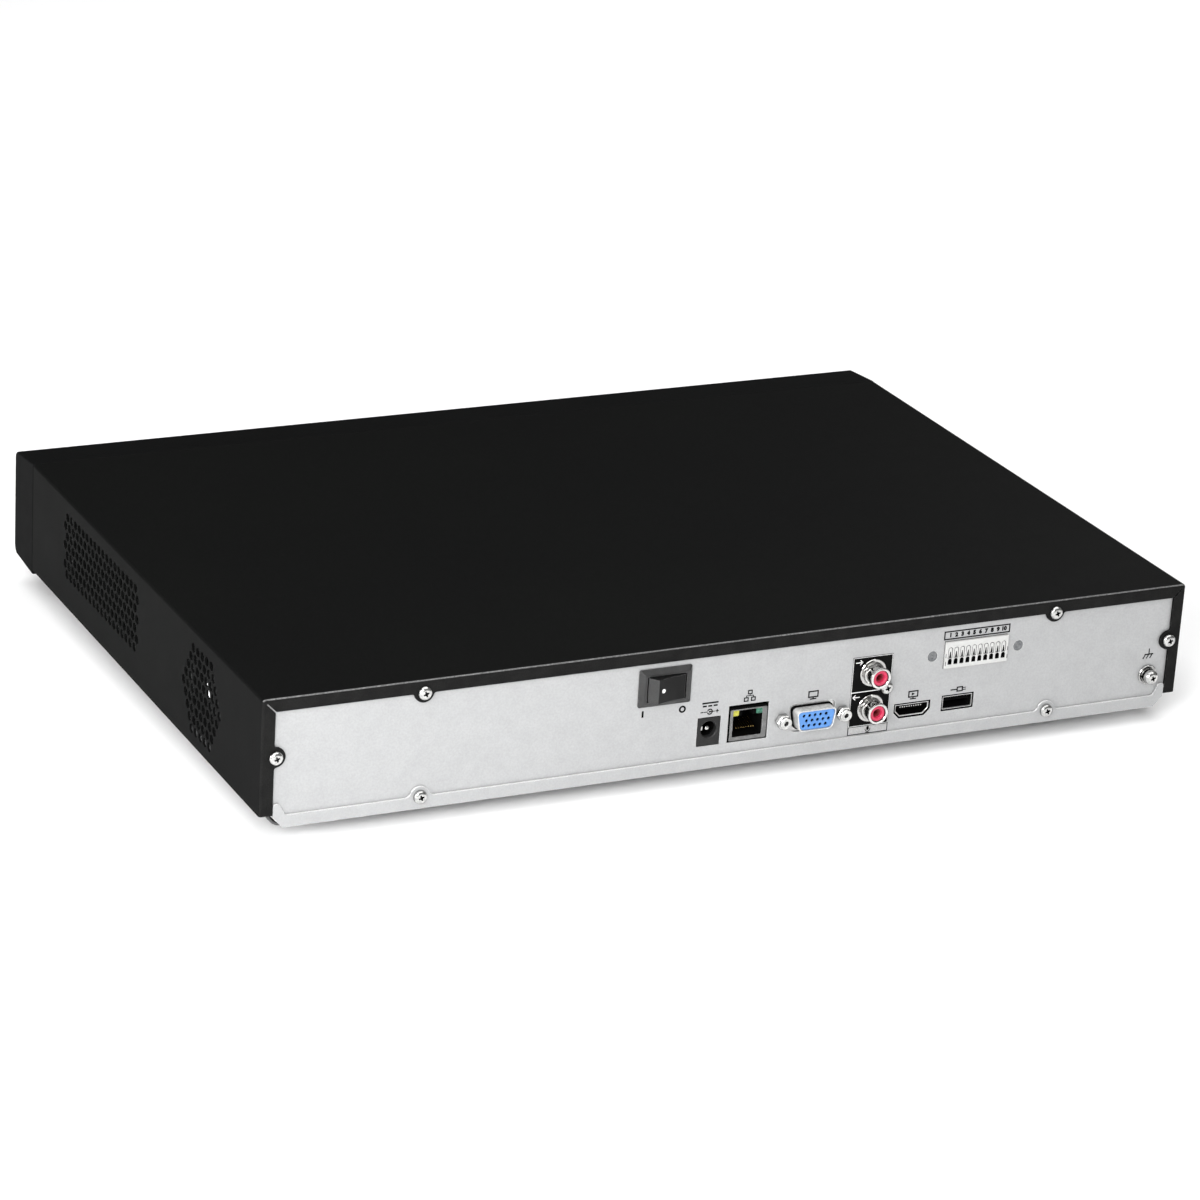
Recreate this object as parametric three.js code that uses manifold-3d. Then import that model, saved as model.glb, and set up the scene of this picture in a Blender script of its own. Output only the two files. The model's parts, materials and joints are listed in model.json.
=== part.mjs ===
// A two-bay digital video recorder in a low desktop case: a folded steel chassis and cover, a
// moulded front bezel and a rear panel that carries the connectors. Millimetres, +Z up.
// The front faces -Y and the connectors face +Y. The origin is under the middle of the recorder,
// at the level of the soles of its feet. Left and right are as seen from the rear: left is +X.
import * as THREE from "three";
import { mergeVertices } from "three/addons/utils/BufferGeometryUtils.js";
import Module from "manifold-3d";

// ---------------------------------------------------------------- driving dimensions

// The case
const WIDTH = 375; // across the cover
const BODY_DEPTH = 269; // front of the bezel to the rear face of the cover
const HEIGHT = 56; // table to the top of the cover
const SHEET = 0.8; // steel of the chassis, the cover and the rear panel
const SEAT_GAP = 0.2; // between two pieces that rest on each other
const RUN_GAP = 0.3; // around a piece that moves or is screwed in

// Feet
const FOOT_HEIGHT = 6.6;
const FOOT_RADIUS = 8;
const FOOT_TAPER = 0.8;
const FOOT_INSET_X = 37.5; // from the side of the cover
const FOOT_INSET_Y = 40; // from the bezel front and from the rear of the cover

// Chassis and cover
const WALL_INSET = 3.5; // cover side to the chassis wall behind it
const CORNER_RADIUS = 5.5; // folded bottom corners of the chassis
const COVER_RISE = 5; // chassis underside to the lower edge of the cover's sides
const FLANGE = 5; // width of the cover's rear flange
const TAB_RADIUS = 3.8; // rounded tab of the flange or the lip around a screw
const TAB_FILLET = 1.1; // at the foot of a tab of the flange
const LIP_TAB_FILLET = 2.2;
const MITRE = { gap: 0.6, solid: 1.15 }; // slit of the flange corners, and what is left outside it
const LIP_HEIGHT = 4.6; // rear lip of the chassis, which holds the rear panel
const LIP_EAR = 9.2; // height of the lip's two raised ends
const LIP_EAR_WIDTH = 4.5;
const LIP_SHOULDER = 3.85; // height of the cut at the lip's lower corners
const LIP_ROUNDING = 1;
const WALL_TOP_GAP = 1; // chassis walls below the lid
const COVER_OVERHANG = 2; // cover in front of the chassis front wall
const PANEL_CORNER_PLAY = { across: 1, up: 0.6 };
const BOSS = { root: 3, tip: 2.4 }; // pressed bosses of the chassis floor

// Bezel
const BEZEL_DEPTH = 22.3;
const BEZEL_WALL = 2;
const BEZEL_DROP = 1.6; // fall of the bezel's top towards the front
const BEZEL_EDGE = 3; // rounding of its long front edges
const BEZEL_LIFT = 2.9; // chassis underside to the underside of the bezel
const CLIP = { width: 14, thickness: 1.6, reach: 3, low: 8, high: 9 };
const CLIP_INSET = 60; // from the side of the cover to a clip's middle

// Status window and front serial port, placed from the bezel's end
const WINDOW_SIZE = { width: 42, height: 7, depth: 1.4 };
const WINDOW_INSET = 72;
const LIGHT_SLOT_EDGE = { end: 3, side: 2 }; // bezel left behind the window
const FRONT_PORT_INSET = 32;
const FRONT_PORT_SINK = 0.3; // behind the bezel's face
const FRONT_BOARD_HEIGHT = 15;

// Vents: rows of slots
const VENT_PITCH = 4.5; // along a row
const VENT_ROW_PITCH = 3.9;
const VENT_SLOT_HEIGHT = 2.9;
const VENT_WEB = 1.1;
const FAN_VENT_CELLS = [5, 6, 7, 8, 9, 8, 7, 6, 5];
const FRONT_VENT_CELLS = [18, 19, 18, 19, 18, 19, 18];
const FAN_CENTRE = { fromRear: 58.6, aboveFloor: 26.6 };
const FRONT_VENT_CENTRE = { fromRear: 167, aboveFloor: 30.2 };

// Fan
const FAN_SIZE = 40;
const FAN_DEPTH = 10;
const FAN_WALL = 1.4; // thinnest wall of the frame around the duct
const FAN_HUB_SHARE = 0.225; // hub radius, of the frame's size
const FAN_MOTOR_DEPTH = 2;
const FAN_STRUT_WIDTH = 2;
const FAN_SINK = 0.6; // rotor face behind the frame's face
const FAN_SHAFT_RADIUS = 1;
const FAN_BLADES = 7;
const FAN_BLADE = { chord: 7.4, thickness: 0.9 };
const FAN_BLADE_PITCH = THREE.MathUtils.degToRad(38);

// Screws
const SCREW_HEAD_RADIUS = 2.7;
const SCREW_HEAD_HEIGHT = 1.7;
const SCREW_SHANK_RADIUS = 1.4;
const SCREW_LENGTH = 6;
const SCREW_CROWN = { start: 0.45, width: 0.72 }; // shares of the head's height and radius
const CROSS = { length: 2.8, width: 0.6, depth: 1 };
const TOP_SCREW_DROP = 4.7; // top of the cover to the upper screws
const LIP_SCREW_RISE = 4.7; // chassis underside to the lower screws
const LEFT_SCREW_INSET = 60.7; // side of the cover to the long-edge screws
const RIGHT_SCREW_INSET = 57.3;
const SIDE_SCREW_INSET = 5.4;
const SIDE_SCREW_DROP = 22.2;

// Printed boards
const BOARD_THICKNESS = 1.6;
const BOARD_TOP = 15.3;
const BOARD_DEPTH = 80;
const BOARD_MARGIN = 11; // board beyond the outermost connector
const BOARD_CLEARANCE = 1; // behind the rear panel
const BOARD_BOSS_INSET = 6;

// Rocker switch
const ROCKER_AT = { x: 32, z: 41.5 };
const ROCKER_RIM = { width: 21, height: 14.6, proud: 2, bevel: 1.7 };
const ROCKER_BODY = { width: 19, height: 12.8, depth: 13 };
const ROCKER_WINDOW = { width: 15.8, height: 10 };
const ROCKER_PLATE = 0.7; // thickness around the window
const ROCKER_RADIUS = 8.3; // rounded ends, about the pivot
const ROCKER_PIVOT_DEPTH = 3.7; // rim front to the pivot
const ROCKER_RIDGE = THREE.MathUtils.degToRad(44); // end of the top face, seen from the pivot
const ROCKER_TILT = THREE.MathUtils.degToRad(12); // each way from level
const ROCKER_SIDE = THREE.MathUtils.degToRad(14); // lower end of the rounded ends
const ROCKER_FOOT = { half: 5, drop: 2.5 };
const ROCKER_DISH = 0.4;
const ROCKER_FLOOR = 4;
const ROCKER_BLADE = { share: 0.28, thickness: 0.8, length: 7, height: 4.8 };
const TRUNNION = { radius: 1, wall: 0.4 };

// Power inlet
const DC_AT_X = 12.8;
const DC_BODY = { width: 9, height: 11, depth: 14 };
const DC_BORE_RADIUS = 3.15;
const DC_BORE_HEIGHT = 6.3; // of its axis above the body's foot
const DC_BORE_DEPTH = 10;
const DC_PIN = { radius: 1, recess: 1.2, foot: 0.5 };

// Network socket
const LAN_AT_X = -3.3;
const LAN_SHELL = { width: 15.9, height: 13, depth: 16, wall: 0.4 };
const LAN_RECESS = 0.5; // shell front behind the panel face
const LAN_HEADROOM = 1.1; // extra height of the panel's cut-out
const LAN_MOUTH = { width: 11.8, height: 8.2, depth: 12.5 };
const LAN_NOTCH = { width: 4.4, height: 1.9 }; // for the plug's latch
const LAN_LED = { width: 3.6, height: 2.3, depth: 8, recess: 0.2 };
const LAN_SILL = 1; // insert under the mouth
const LAN_INSERT_RECESS = 0.3;
const LAN_CONTACTS = { margin: 1, recess: 3, height: 0.8 };

// Display socket
const VGA_AT = { x: -29.7, z: 21.7 };
const VGA_SHELL = { width: 16.7, height: 8.3, slope: 1.4, radius: 2, wall: 0.45 };
const VGA_PROUD = 4.1;
const VGA_FLANGE = { width: 30.8, height: 11.5, thickness: 1 };
const VGA_WINDOW_MARGIN = 1.5; // panel cut-out around the shell
const VGA_SCREW_SPACING = 25;
const VGA_HEX_RADIUS = 2.9;
const VGA_PIN_PITCH = 2.29;
const VGA_PIN_ROW_PITCH = 1.98;
const VGA_PIN_HOLE_RADIUS = 0.5;
const VGA_INSERT = { recess: 0.4, behind: 5, holeDepth: 3 };
const JACK_THREAD = { radius: 1.3, depth: 3 };

// Audio jacks
const AUDIO_AT_X = -53.8;
const AUDIO_HEIGHTS = [36.2, 22.1]; // output above input
const AUDIO_PROUD = 6; // jack tips beyond the cover
const AUDIO_BARREL = { radius: 4.1, bore: 3.15, flange: 5.4, flangeThickness: 1, root: 3 };
const AUDIO_LIP = { height: 0.35, start: 1.6, end: 1.2 }; // raised band at a jack's tip
const AUDIO_INSERT = { radius: 3, bore: 1.6, recess: 0.5, depth: 7, floor: 1 };
const AUDIO_BLOCK = { width: 17, height: 27, depth: 11, floor: 2 };
const AUDIO_SCREW = { dx: -6.4, z: 29.4 };

// Video and rear serial ports
const VIDEO_AT = { x: -72.2, z: 18.8 };
const VIDEO_SHELL = { width: 15, height: 5.5, chamfer: 2.4, wall: 0.35, depth: 11, recess: 0.4, floor: 1 };
const VIDEO_TONGUE = { width: 10.5, thickness: 1.1, offset: 0.5, recess: 1 };
const SERIAL_AT = { x: -91.6, z: 19.5 };
const SERIAL_SHELL = { width: 13.3, height: 5.8, wall: 0.35, depth: 14, recess: 0.3 };
const SERIAL_TONGUE = { width: 11.1, thickness: 1.9, offset: 1.1, recess: 1 };

// Terminal block with a release lever for each wire
const TERMINAL_AT = { x: -97.45, z: 39.2 };
const TERMINAL_WAYS = 10;
const TERMINAL_PITCH = 2.54;
const TERMINAL_END_WALL = 0.75;
const TERMINAL_HEIGHT = 10.6;
const TERMINAL_DEPTH = 12;
const TERMINAL_PROUD = 1;
const LEVER = { width: 1.5, height: 4, depth: 5, travel: 1.2, drop: 2.3 };
const LEVER_SLOT = { width: 0.5, depth: 1, rise: 0.6, fall: 0.8 };
const WIRE_HOLE = { width: 1.5, height: 2.4, depth: 8, rise: 1.6 };

// Clinch studs beside the terminal block, and the board they hold
const STUD_SPACING = 36.8;
const STUD_RADIUS = 2;
const STUD_POST_RADIUS = 1.6;
const ALARM_BOARD = { width: 46, height: 19 };

// Ground screw
const GROUND_INSET_X = 12.8; // side of the cover to the screw
const GROUND_RISE = 13.4; // chassis underside to the screw
const GROUND_WASHER = { radius: 4, thickness: 0.8 };
const GROUND_SPRING = { radius: 3.2, thickness: 1 };
const GROUND_HEAD = { radius: 2.9, height: 3 };
const GROUND_CROWN = { start: 0.7, width: 0.75 };

// Hard drives, side by side
const DRIVE = { width: 101.6, height: 26.1, depth: 147 };
const DRIVE_SPACING = 8;
const DRIVE_RISE = 2.4; // chassis floor to a drive's underside
const DRIVE_SETBACK = 11; // chassis front wall to a drive
const DRIVE_LID = { height: 1, side: 3, front: 4, rear: 16 };
const DRIVE_BOSS = { across: 0.35, along: [0.15, 0.85] }; // shares of a drive's width and depth

// Heat sink on the main board
const HEAT_SINK = { width: 38, depth: 38, base: 2.5, height: 12, fins: 9, finThickness: 1.2 };
const HEAT_SINK_SETBACK = 8; // in front of the board's middle
const HEAT_SINK_LEG = 3; // square legs at the corners, down to the board
const PROCESSOR_HEIGHT = 1.6;
const JOIN = 0.1; // overlap of two solids that are joined

// ---------------------------------------------------------------- places that follow

const HALF = WIDTH / 2;
const FRONT_Y = -(BODY_DEPTH + AUDIO_PROUD) / 2;
const REAR_Y = FRONT_Y + BODY_DEPTH;
const PANEL_OUT = REAR_Y - SHEET - SEAT_GAP; // outer face of the rear panel
const PANEL_IN = PANEL_OUT - SHEET;
const UNDERSIDE = FOOT_HEIGHT + SEAT_GAP;
const FLOOR_TOP = UNDERSIDE + SHEET;
const COVER_INNER_TOP = HEIGHT - SHEET;
const COVER_EDGE = UNDERSIDE + COVER_RISE;
const COVER_FRONT = FRONT_Y + BEZEL_DEPTH + SEAT_GAP;
const WALL_X = HALF - WALL_INSET; // outer face of a chassis side wall
const WALL_TOP = COVER_INNER_TOP - WALL_TOP_GAP;
const CHASSIS_FRONT = COVER_FRONT + COVER_OVERHANG;
const PANEL_HALF = HALF - SHEET - SEAT_GAP;
const PANEL_TOP = COVER_INNER_TOP - SEAT_GAP;
const PANEL_BOTTOM = FLOOR_TOP + SEAT_GAP;
const TOP_SCREW_Z = HEIGHT - TOP_SCREW_DROP;
const LIP_SCREW_Z = UNDERSIDE + LIP_SCREW_RISE;
const LEFT_SCREW_X = HALF - LEFT_SCREW_INSET;
const RIGHT_SCREW_X = -(HALF - RIGHT_SCREW_INSET);
const SIDE_SCREW_X = HALF - SIDE_SCREW_INSET;
const SIDE_SCREW_Z = HEIGHT - SIDE_SCREW_DROP;
const CONNECTOR_FOOT = BOARD_TOP + RUN_GAP; // connectors stand just above the board
const BOARD_BOTTOM = BOARD_TOP - BOARD_THICKNESS;
const BOARD_LEFT = DC_AT_X + DC_BODY.width / 2 + BOARD_MARGIN;
const BOARD_RIGHT = SERIAL_AT.x - SERIAL_SHELL.width / 2 - BOARD_MARGIN;
const BOARD_REAR = PANEL_IN - BOARD_CLEARANCE;
const BOARD_FRONT = BOARD_REAR - BOARD_DEPTH;
const DRIVE_FRONT = CHASSIS_FRONT + SHEET + DRIVE_SETBACK;
const DRIVE_BOTTOM = FLOOR_TOP + DRIVE_RISE;
const FAN_Y = REAR_Y - FAN_CENTRE.fromRear;
const FAN_Z = UNDERSIDE + FAN_CENTRE.aboveFloor;
const FAN_OUT = WALL_X - SHEET - SEAT_GAP;
const FRONT_PORT_X = HALF - FRONT_PORT_INSET;
const WINDOW_X = HALF - WINDOW_INSET;
const BEZEL_MIDDLE_Z = (HEIGHT + UNDERSIDE) / 2;
const GROUND_X = -(HALF - GROUND_INSET_X);
const GROUND_Z = UNDERSIDE + GROUND_RISE;
const LIP_TOP = UNDERSIDE + LIP_HEIGHT;
const FAN_DUCT_RADIUS = FAN_SIZE / 2 - FAN_WALL;
const FAN_HUB_RADIUS = FAN_SIZE * FAN_HUB_SHARE;
const VGA_SCREWS = [VGA_AT.x + VGA_SCREW_SPACING / 2, VGA_AT.x - VGA_SCREW_SPACING / 2];
const STUDS = [TERMINAL_AT.x + STUD_SPACING / 2, TERMINAL_AT.x - STUD_SPACING / 2];
const TERMINAL_WIDTH = TERMINAL_WAYS * TERMINAL_PITCH + 2 * TERMINAL_END_WALL;

// ---------------------------------------------------------------- geometry helpers

const wasm = await Module();
wasm.setup();

// A three.js geometry as a solid that can be joined and cut.
function solidOf(geometry) {
  const bare = geometry.clone();
  bare.deleteAttribute("normal");
  bare.deleteAttribute("uv");
  const merged = mergeVertices(bare);
  return new wasm.Manifold(
    new wasm.Mesh({
      numProp: 3,
      vertProperties: Float32Array.from(merged.attributes.position.array),
      triVerts: Uint32Array.from(merged.index.array),
    }),
  );
}

function geometryOf(solid) {
  const mesh = solid.getMesh();
  const geometry = new THREE.BufferGeometry();
  geometry.setAttribute("position", new THREE.BufferAttribute(mesh.vertProperties, 3));
  geometry.setIndex(new THREE.BufferAttribute(mesh.triVerts, 1));
  geometry.computeVertexNormals();
  return geometry;
}

function join(...solids) {
  return solids.reduce((sum, solid) => sum.add(solid));
}

function cut(solid, ...tools) {
  return tools.reduce((rest, tool) => rest.subtract(tool), solid);
}

// A box between two corners.
function block([x0, x1], [y0, y1], [z0, z1]) {
  const box = new THREE.BoxGeometry(x1 - x0, y1 - y0, z1 - z0);
  box.translate((x0 + x1) / 2, (y0 + y1) / 2, (z0 + z1) / 2);
  return solidOf(box);
}

// The span of a size about its middle.
function about(middle, size) {
  return [middle - size / 2, middle + size / 2];
}

// A box on the rear side, that narrows from its root to its face.
function taperedBlock(at, root, face, yRoot, yFace) {
  const box = new THREE.BoxGeometry(1, 1, 1);
  const corners = box.attributes.position;
  for (let i = 0; i < corners.count; i += 1) {
    const outer = corners.getY(i) > 0;
    const size = outer ? face : root;
    corners.setXYZ(
      i,
      at.x + corners.getX(i) * size.width,
      outer ? yFace : yRoot,
      at.z + corners.getZ(i) * size.height,
    );
  }
  return solidOf(box);
}

// A round bar along Y.
function rod(x, z, [y0, y1], radius, sides = 16) {
  const bar = new THREE.CylinderGeometry(radius, radius, y1 - y0, sides);
  bar.translate(x, (y0 + y1) / 2, z);
  return solidOf(bar);
}

// A round bar along X.
function axleRod([x0, x1], y, z, radius, sides = 16) {
  const bar = new THREE.CylinderGeometry(radius, radius, x1 - x0, sides);
  bar.rotateZ(-Math.PI / 2);
  bar.translate((x0 + x1) / 2, y, z);
  return solidOf(bar);
}

// A turned piece about an axis along Y, from [radius, y] pairs that start and end on the axis.
function turned(x, z, profile, sides = 16) {
  const points = profile.map(([radius, y]) => new THREE.Vector2(radius, y));
  const lathe = new THREE.LatheGeometry(points, sides);
  lathe.translate(x, 0, z);
  return solidOf(lathe);
}

// An outline in X and Z, thickened along Y.
function slab(shape, [y0, y1], curveSegments = 4) {
  const plate = new THREE.ExtrudeGeometry(shape, { depth: y1 - y0, bevelEnabled: false, curveSegments });
  plate.rotateX(Math.PI / 2);
  plate.translate(0, y1, 0);
  return solidOf(plate);
}

// An outline in Y and Z, thickened along X.
function sideSlab(shape, [x0, x1], curveSegments = 4) {
  const plate = new THREE.ExtrudeGeometry(shape, { depth: x1 - x0, bevelEnabled: false, curveSegments });
  plate.rotateX(Math.PI / 2);
  plate.rotateZ(Math.PI / 2);
  plate.translate(x0, 0, 0);
  return solidOf(plate);
}

// A closed outline through the given corners, each rounded by the same radius.
function roundedOutline(corners, radius) {
  const shape = new THREE.Shape();
  corners.forEach(([u, v], i) => {
    const corner = new THREE.Vector2(u, v);
    const before = new THREE.Vector2(...corners.at(i - 1)).sub(corner).setLength(radius).add(corner);
    const after = new THREE.Vector2(...corners.at((i + 1) % corners.length));
    after.sub(corner).setLength(radius).add(corner);
    if (i === 0) shape.moveTo(before.x, before.y);
    else shape.lineTo(before.x, before.y);
    shape.quadraticCurveTo(corner.x, corner.y, after.x, after.y);
  });
  shape.closePath();
  return shape;
}

function straightOutline(corners) {
  return new THREE.Shape(corners.map(([u, v]) => new THREE.Vector2(u, v)));
}

// ---------------------------------------------------------------- materials and assembly

const recorder = new THREE.Group();

function finish(color, roughness, metalness = 0) {
  return { color, roughness, metalness };
}

const BLACK_PAINT = finish(0x1d1e1f, 0.55, 0.1);
const BARE_STEEL = finish(0xc9cacb, 0.4, 0.8);
const BRIGHT_METAL = finish(0xd8d8d6, 0.25, 0.95);
const BLACK_PLASTIC = finish(0x141415, 0.5);
const BLACK_GLOSS = finish(0x0c0d10, 0.12);
const RUBBER = finish(0x202020, 0.9);
const BLUE_PLASTIC = finish(0x5aa0ee, 0.5);
const PINK_PLASTIC = finish(0xe8486a, 0.45);
const WHITE_PLASTIC = finish(0xf0f0ec, 0.5);
const GREY_METAL = finish(0xa4a6a8, 0.5, 0.7);
const BOARD_GREEN = finish(0x1f5a34, 0.6);
const LED_YELLOW = finish(0xd8d24a, 0.3);
const LED_GREEN = finish(0x4fb08c, 0.3);

function addPart(name, solid, look) {
  const material = new THREE.MeshStandardMaterial(look);
  const mesh = new THREE.Mesh(geometryOf(solid), material);
  mesh.name = name;
  recorder.add(mesh);
}

// ---------------------------------------------------------------- case

// Section of the chassis trough, pulled in by an inset, with folded bottom corners.
function troughOutline(inset, top) {
  const x = WALL_X - inset;
  const z = UNDERSIDE + inset;
  const radius = CORNER_RADIUS - inset;
  const shape = new THREE.Shape();
  shape.moveTo(x, top);
  shape.lineTo(-x, top);
  shape.lineTo(-x, z + radius);
  shape.absarc(-x + radius, z + radius, radius, Math.PI, 1.5 * Math.PI, false);
  shape.lineTo(x - radius, z);
  shape.absarc(x - radius, z + radius, radius, 1.5 * Math.PI, 2 * Math.PI, false);
  shape.closePath();
  return shape;
}

// The rear lip: a low strip with raised, rounded ends that stand beside the cover's flange.
function lipOutline() {
  const flat = WALL_X - CORNER_RADIUS;
  const end = HALF - FLANGE - SEAT_GAP;
  const earInner = end - LIP_EAR_WIDTH;
  const earTop = UNDERSIDE + LIP_EAR;
  const ramp = LIP_EAR_WIDTH / 2;
  const half = [
    [flat, UNDERSIDE],
    [end, UNDERSIDE + LIP_SHOULDER],
    [end, earTop],
    [end - ramp, earTop],
    [earInner, LIP_TOP],
  ];
  const mirrored = half.map(([x, z]) => [-x, z]).reverse();
  return roundedOutline([...half, ...mirrored], LIP_ROUNDING);
}

function driveFeet() {
  const bosses = [];
  for (const x of driveCentres()) {
    for (const across of [-DRIVE_BOSS.across, DRIVE_BOSS.across]) {
      for (const along of DRIVE_BOSS.along) {
        const y = DRIVE_FRONT + DRIVE.depth * along;
        bosses.push(post(x + across * DRIVE.width, y, DRIVE_BOTTOM - SEAT_GAP));
      }
    }
  }
  return bosses;
}

function boardFeet() {
  const bosses = [];
  for (const x of [BOARD_LEFT - BOARD_BOSS_INSET, BOARD_RIGHT + BOARD_BOSS_INSET]) {
    for (const y of [BOARD_FRONT + BOARD_BOSS_INSET, BOARD_REAR - BOARD_BOSS_INSET]) {
      bosses.push(post(x, y, BOARD_BOTTOM - SEAT_GAP));
    }
  }
  return bosses;
}

// A pressed boss that stands on the chassis floor.
function post(x, y, top) {
  const bar = new THREE.CylinderGeometry(BOSS.tip, BOSS.root, top - UNDERSIDE, 10);
  bar.rotateX(Math.PI / 2);
  bar.translate(x, y, (top + UNDERSIDE) / 2);
  return solidOf(bar);
}

function driveCentres() {
  const step = (DRIVE.width + DRIVE_SPACING) / 2;
  return [step, -step];
}

// Air openings in the chassis walls, behind the fan's duct and the cover's long vents.
function wallWindows() {
  const fan = block([0, HALF], about(FAN_Y, 2 * FAN_DUCT_RADIUS), about(FAN_Z, 2 * FAN_DUCT_RADIUS));
  const length = Math.max(...FRONT_VENT_CELLS) * VENT_PITCH;
  const height = FRONT_VENT_CELLS.length * VENT_ROW_PITCH;
  const middle = REAR_Y - FRONT_VENT_CENTRE.fromRear;
  const z = UNDERSIDE + FRONT_VENT_CENTRE.aboveFloor;
  const side = block([-HALF, HALF], about(middle, length), about(z, height));
  return join(fan, side);
}

function clipSlots(gap) {
  return [-1, 1].flatMap((side) =>
    [clipHeights().low, clipHeights().high].map((z) =>
      block(
        about(side * (HALF - CLIP_INSET), CLIP.width + 2 * gap),
        about(CHASSIS_FRONT + SHEET / 2, 3 * SHEET),
        about(z, CLIP.thickness + 2 * gap),
      ),
    ),
  );
}

function clipHeights() {
  return { low: UNDERSIDE + CLIP.low, high: HEIGHT - CLIP.high };
}

// A tab that stands up from the line v = 0 around a screw at v = centre, filleted at its foot.
function tabOutline(centre, fillet) {
  const side = Math.sqrt((TAB_RADIUS + fillet) ** 2 - (fillet - centre) ** 2);
  const meet = Math.atan2(fillet - centre, side);
  const shape = new THREE.Shape();
  shape.moveTo(side, -SHEET);
  shape.lineTo(side, 0);
  shape.absarc(side, fillet, fillet, -Math.PI / 2, meet - Math.PI, true);
  shape.absarc(0, centre, TAB_RADIUS, meet, Math.PI - meet, false);
  shape.absarc(-side, fillet, fillet, -meet, -Math.PI / 2, true);
  shape.lineTo(-side, -SHEET);
  shape.closePath();
  return shape;
}

function buildChassis() {
  const wallEnd = PANEL_IN - SEAT_GAP;
  const trough = slab(troughOutline(0, WALL_TOP), [CHASSIS_FRONT, wallEnd]);
  const inside = slab(troughOutline(SHEET, HEIGHT), [CHASSIS_FRONT + SHEET, REAR_Y]);
  const flat = WALL_X - CORNER_RADIUS;
  const tongue = block([-flat, flat], [wallEnd - JOIN, REAR_Y], [UNDERSIDE, FLOOR_TOP]);
  const lip = slab(lipOutline(), [REAR_Y - SHEET, REAR_Y]);
  const screws = [LEFT_SCREW_X, RIGHT_SCREW_X];
  const bump = slab(tabOutline(LIP_SCREW_Z - LIP_TOP, LIP_TAB_FILLET), [REAR_Y - SHEET, REAR_Y], 6);
  const bumps = screws.map((x) => bump.translate([x, 0, LIP_TOP]));
  const holes = screws.map((x) => screwHole(x, LIP_SCREW_Z));
  const frontPort = block(
    about(FRONT_PORT_X, SERIAL_SHELL.width + 2),
    about(CHASSIS_FRONT, 4),
    about(BEZEL_MIDDLE_Z, SERIAL_SHELL.height + 2),
  );
  const sideHoles = [-1, 1].map((side) => screwHole(side * SIDE_SCREW_X, SIDE_SCREW_Z));
  const shell = join(cut(trough, inside), tongue, lip, ...bumps, ...driveFeet(), ...boardFeet());
  const openings = [...holes, ...sideHoles, wallWindows(), frontPort, ...clipSlots(RUN_GAP)];
  addPart("bottom_chassis", cut(shell, ...openings), BARE_STEEL);
}

// Clearance for a screw's shank through the sheets behind the cover's rear face.
function screwHole(x, z) {
  return rod(x, z, [REAR_Y - SCREW_LENGTH - 1, REAR_Y + 1], SCREW_SHANK_RADIUS + RUN_GAP, 12);
}

function coverScrewPlaces() {
  return {
    cover_screw_top_left: [LEFT_SCREW_X, TOP_SCREW_Z],
    cover_screw_top_right: [RIGHT_SCREW_X, TOP_SCREW_Z],
    cover_screw_side_left: [SIDE_SCREW_X, SIDE_SCREW_Z],
    cover_screw_side_right: [-SIDE_SCREW_X, SIDE_SCREW_Z],
  };
}

// One slot for each row of cells, through a side of the cover.
function ventSlots(cells, yMiddle, zMiddle, side) {
  return cells.map((count, row) => {
    const z = zMiddle + (row - (cells.length - 1) / 2) * VENT_ROW_PITCH;
    const x = side * (HALF - SHEET / 2);
    const length = count * VENT_PITCH - VENT_WEB;
    return block(about(x, 2 * SHEET), about(yMiddle, length), about(z, VENT_SLOT_HEIGHT));
  });
}

function buildCover() {
  const outer = block([-HALF, HALF], [COVER_FRONT, REAR_Y], [COVER_EDGE, HEIGHT]);
  const inside = block(about(0, WIDTH - 2 * SHEET), [COVER_FRONT - 1, REAR_Y - SHEET], [0, COVER_INNER_TOP]);
  const places = Object.values(coverScrewPlaces());
  const reach = [PANEL_IN, REAR_Y + 1];
  const topTab = slab(tabOutline(HEIGHT - FLANGE - TOP_SCREW_Z, TAB_FILLET), reach, 6).rotate([0, 180, 0]);
  const sideTab = slab(tabOutline(HALF - FLANGE - SIDE_SCREW_X, TAB_FILLET), reach, 6);
  const tabs = [
    topTab.translate([LEFT_SCREW_X, 0, HEIGHT - FLANGE]),
    topTab.translate([RIGHT_SCREW_X, 0, HEIGHT - FLANGE]),
    sideTab.rotate([0, -90, 0]).translate([HALF - FLANGE, 0, SIDE_SCREW_Z]),
    sideTab.rotate([0, 90, 0]).translate([FLANGE - HALF, 0, SIDE_SCREW_Z]),
  ];
  const opening = block(about(0, WIDTH - 2 * FLANGE), reach, [0, HEIGHT - FLANGE]);
  const holes = places.map(([x, z]) => screwHole(x, z));
  const inset = [MITRE.solid, FLANGE + 1]; // both ends of a slit, from the outer corner
  const middle = (inset[0] + inset[1]) / 2;
  const slits = [-1, 1].map((side) => {
    const bar = new THREE.BoxGeometry(Math.SQRT2 * (inset[1] - inset[0]), 4 * SHEET, MITRE.gap);
    bar.rotateY((side * Math.PI) / -4);
    bar.translate(side * (HALF - middle), REAR_Y - SHEET / 2, HEIGHT - middle);
    return solidOf(bar);
  });
  const vents = [
    ...ventSlots(FAN_VENT_CELLS, FAN_Y, FAN_Z, 1),
    ...[-1, 1].flatMap((side) =>
      ventSlots(
        FRONT_VENT_CELLS,
        REAR_Y - FRONT_VENT_CENTRE.fromRear,
        UNDERSIDE + FRONT_VENT_CENTRE.aboveFloor,
        side,
      ),
    ),
  ];
  addPart("top_cover", cut(outer, inside, cut(opening, ...tabs), ...holes, ...slits, ...vents), BLACK_PAINT);
}

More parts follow.
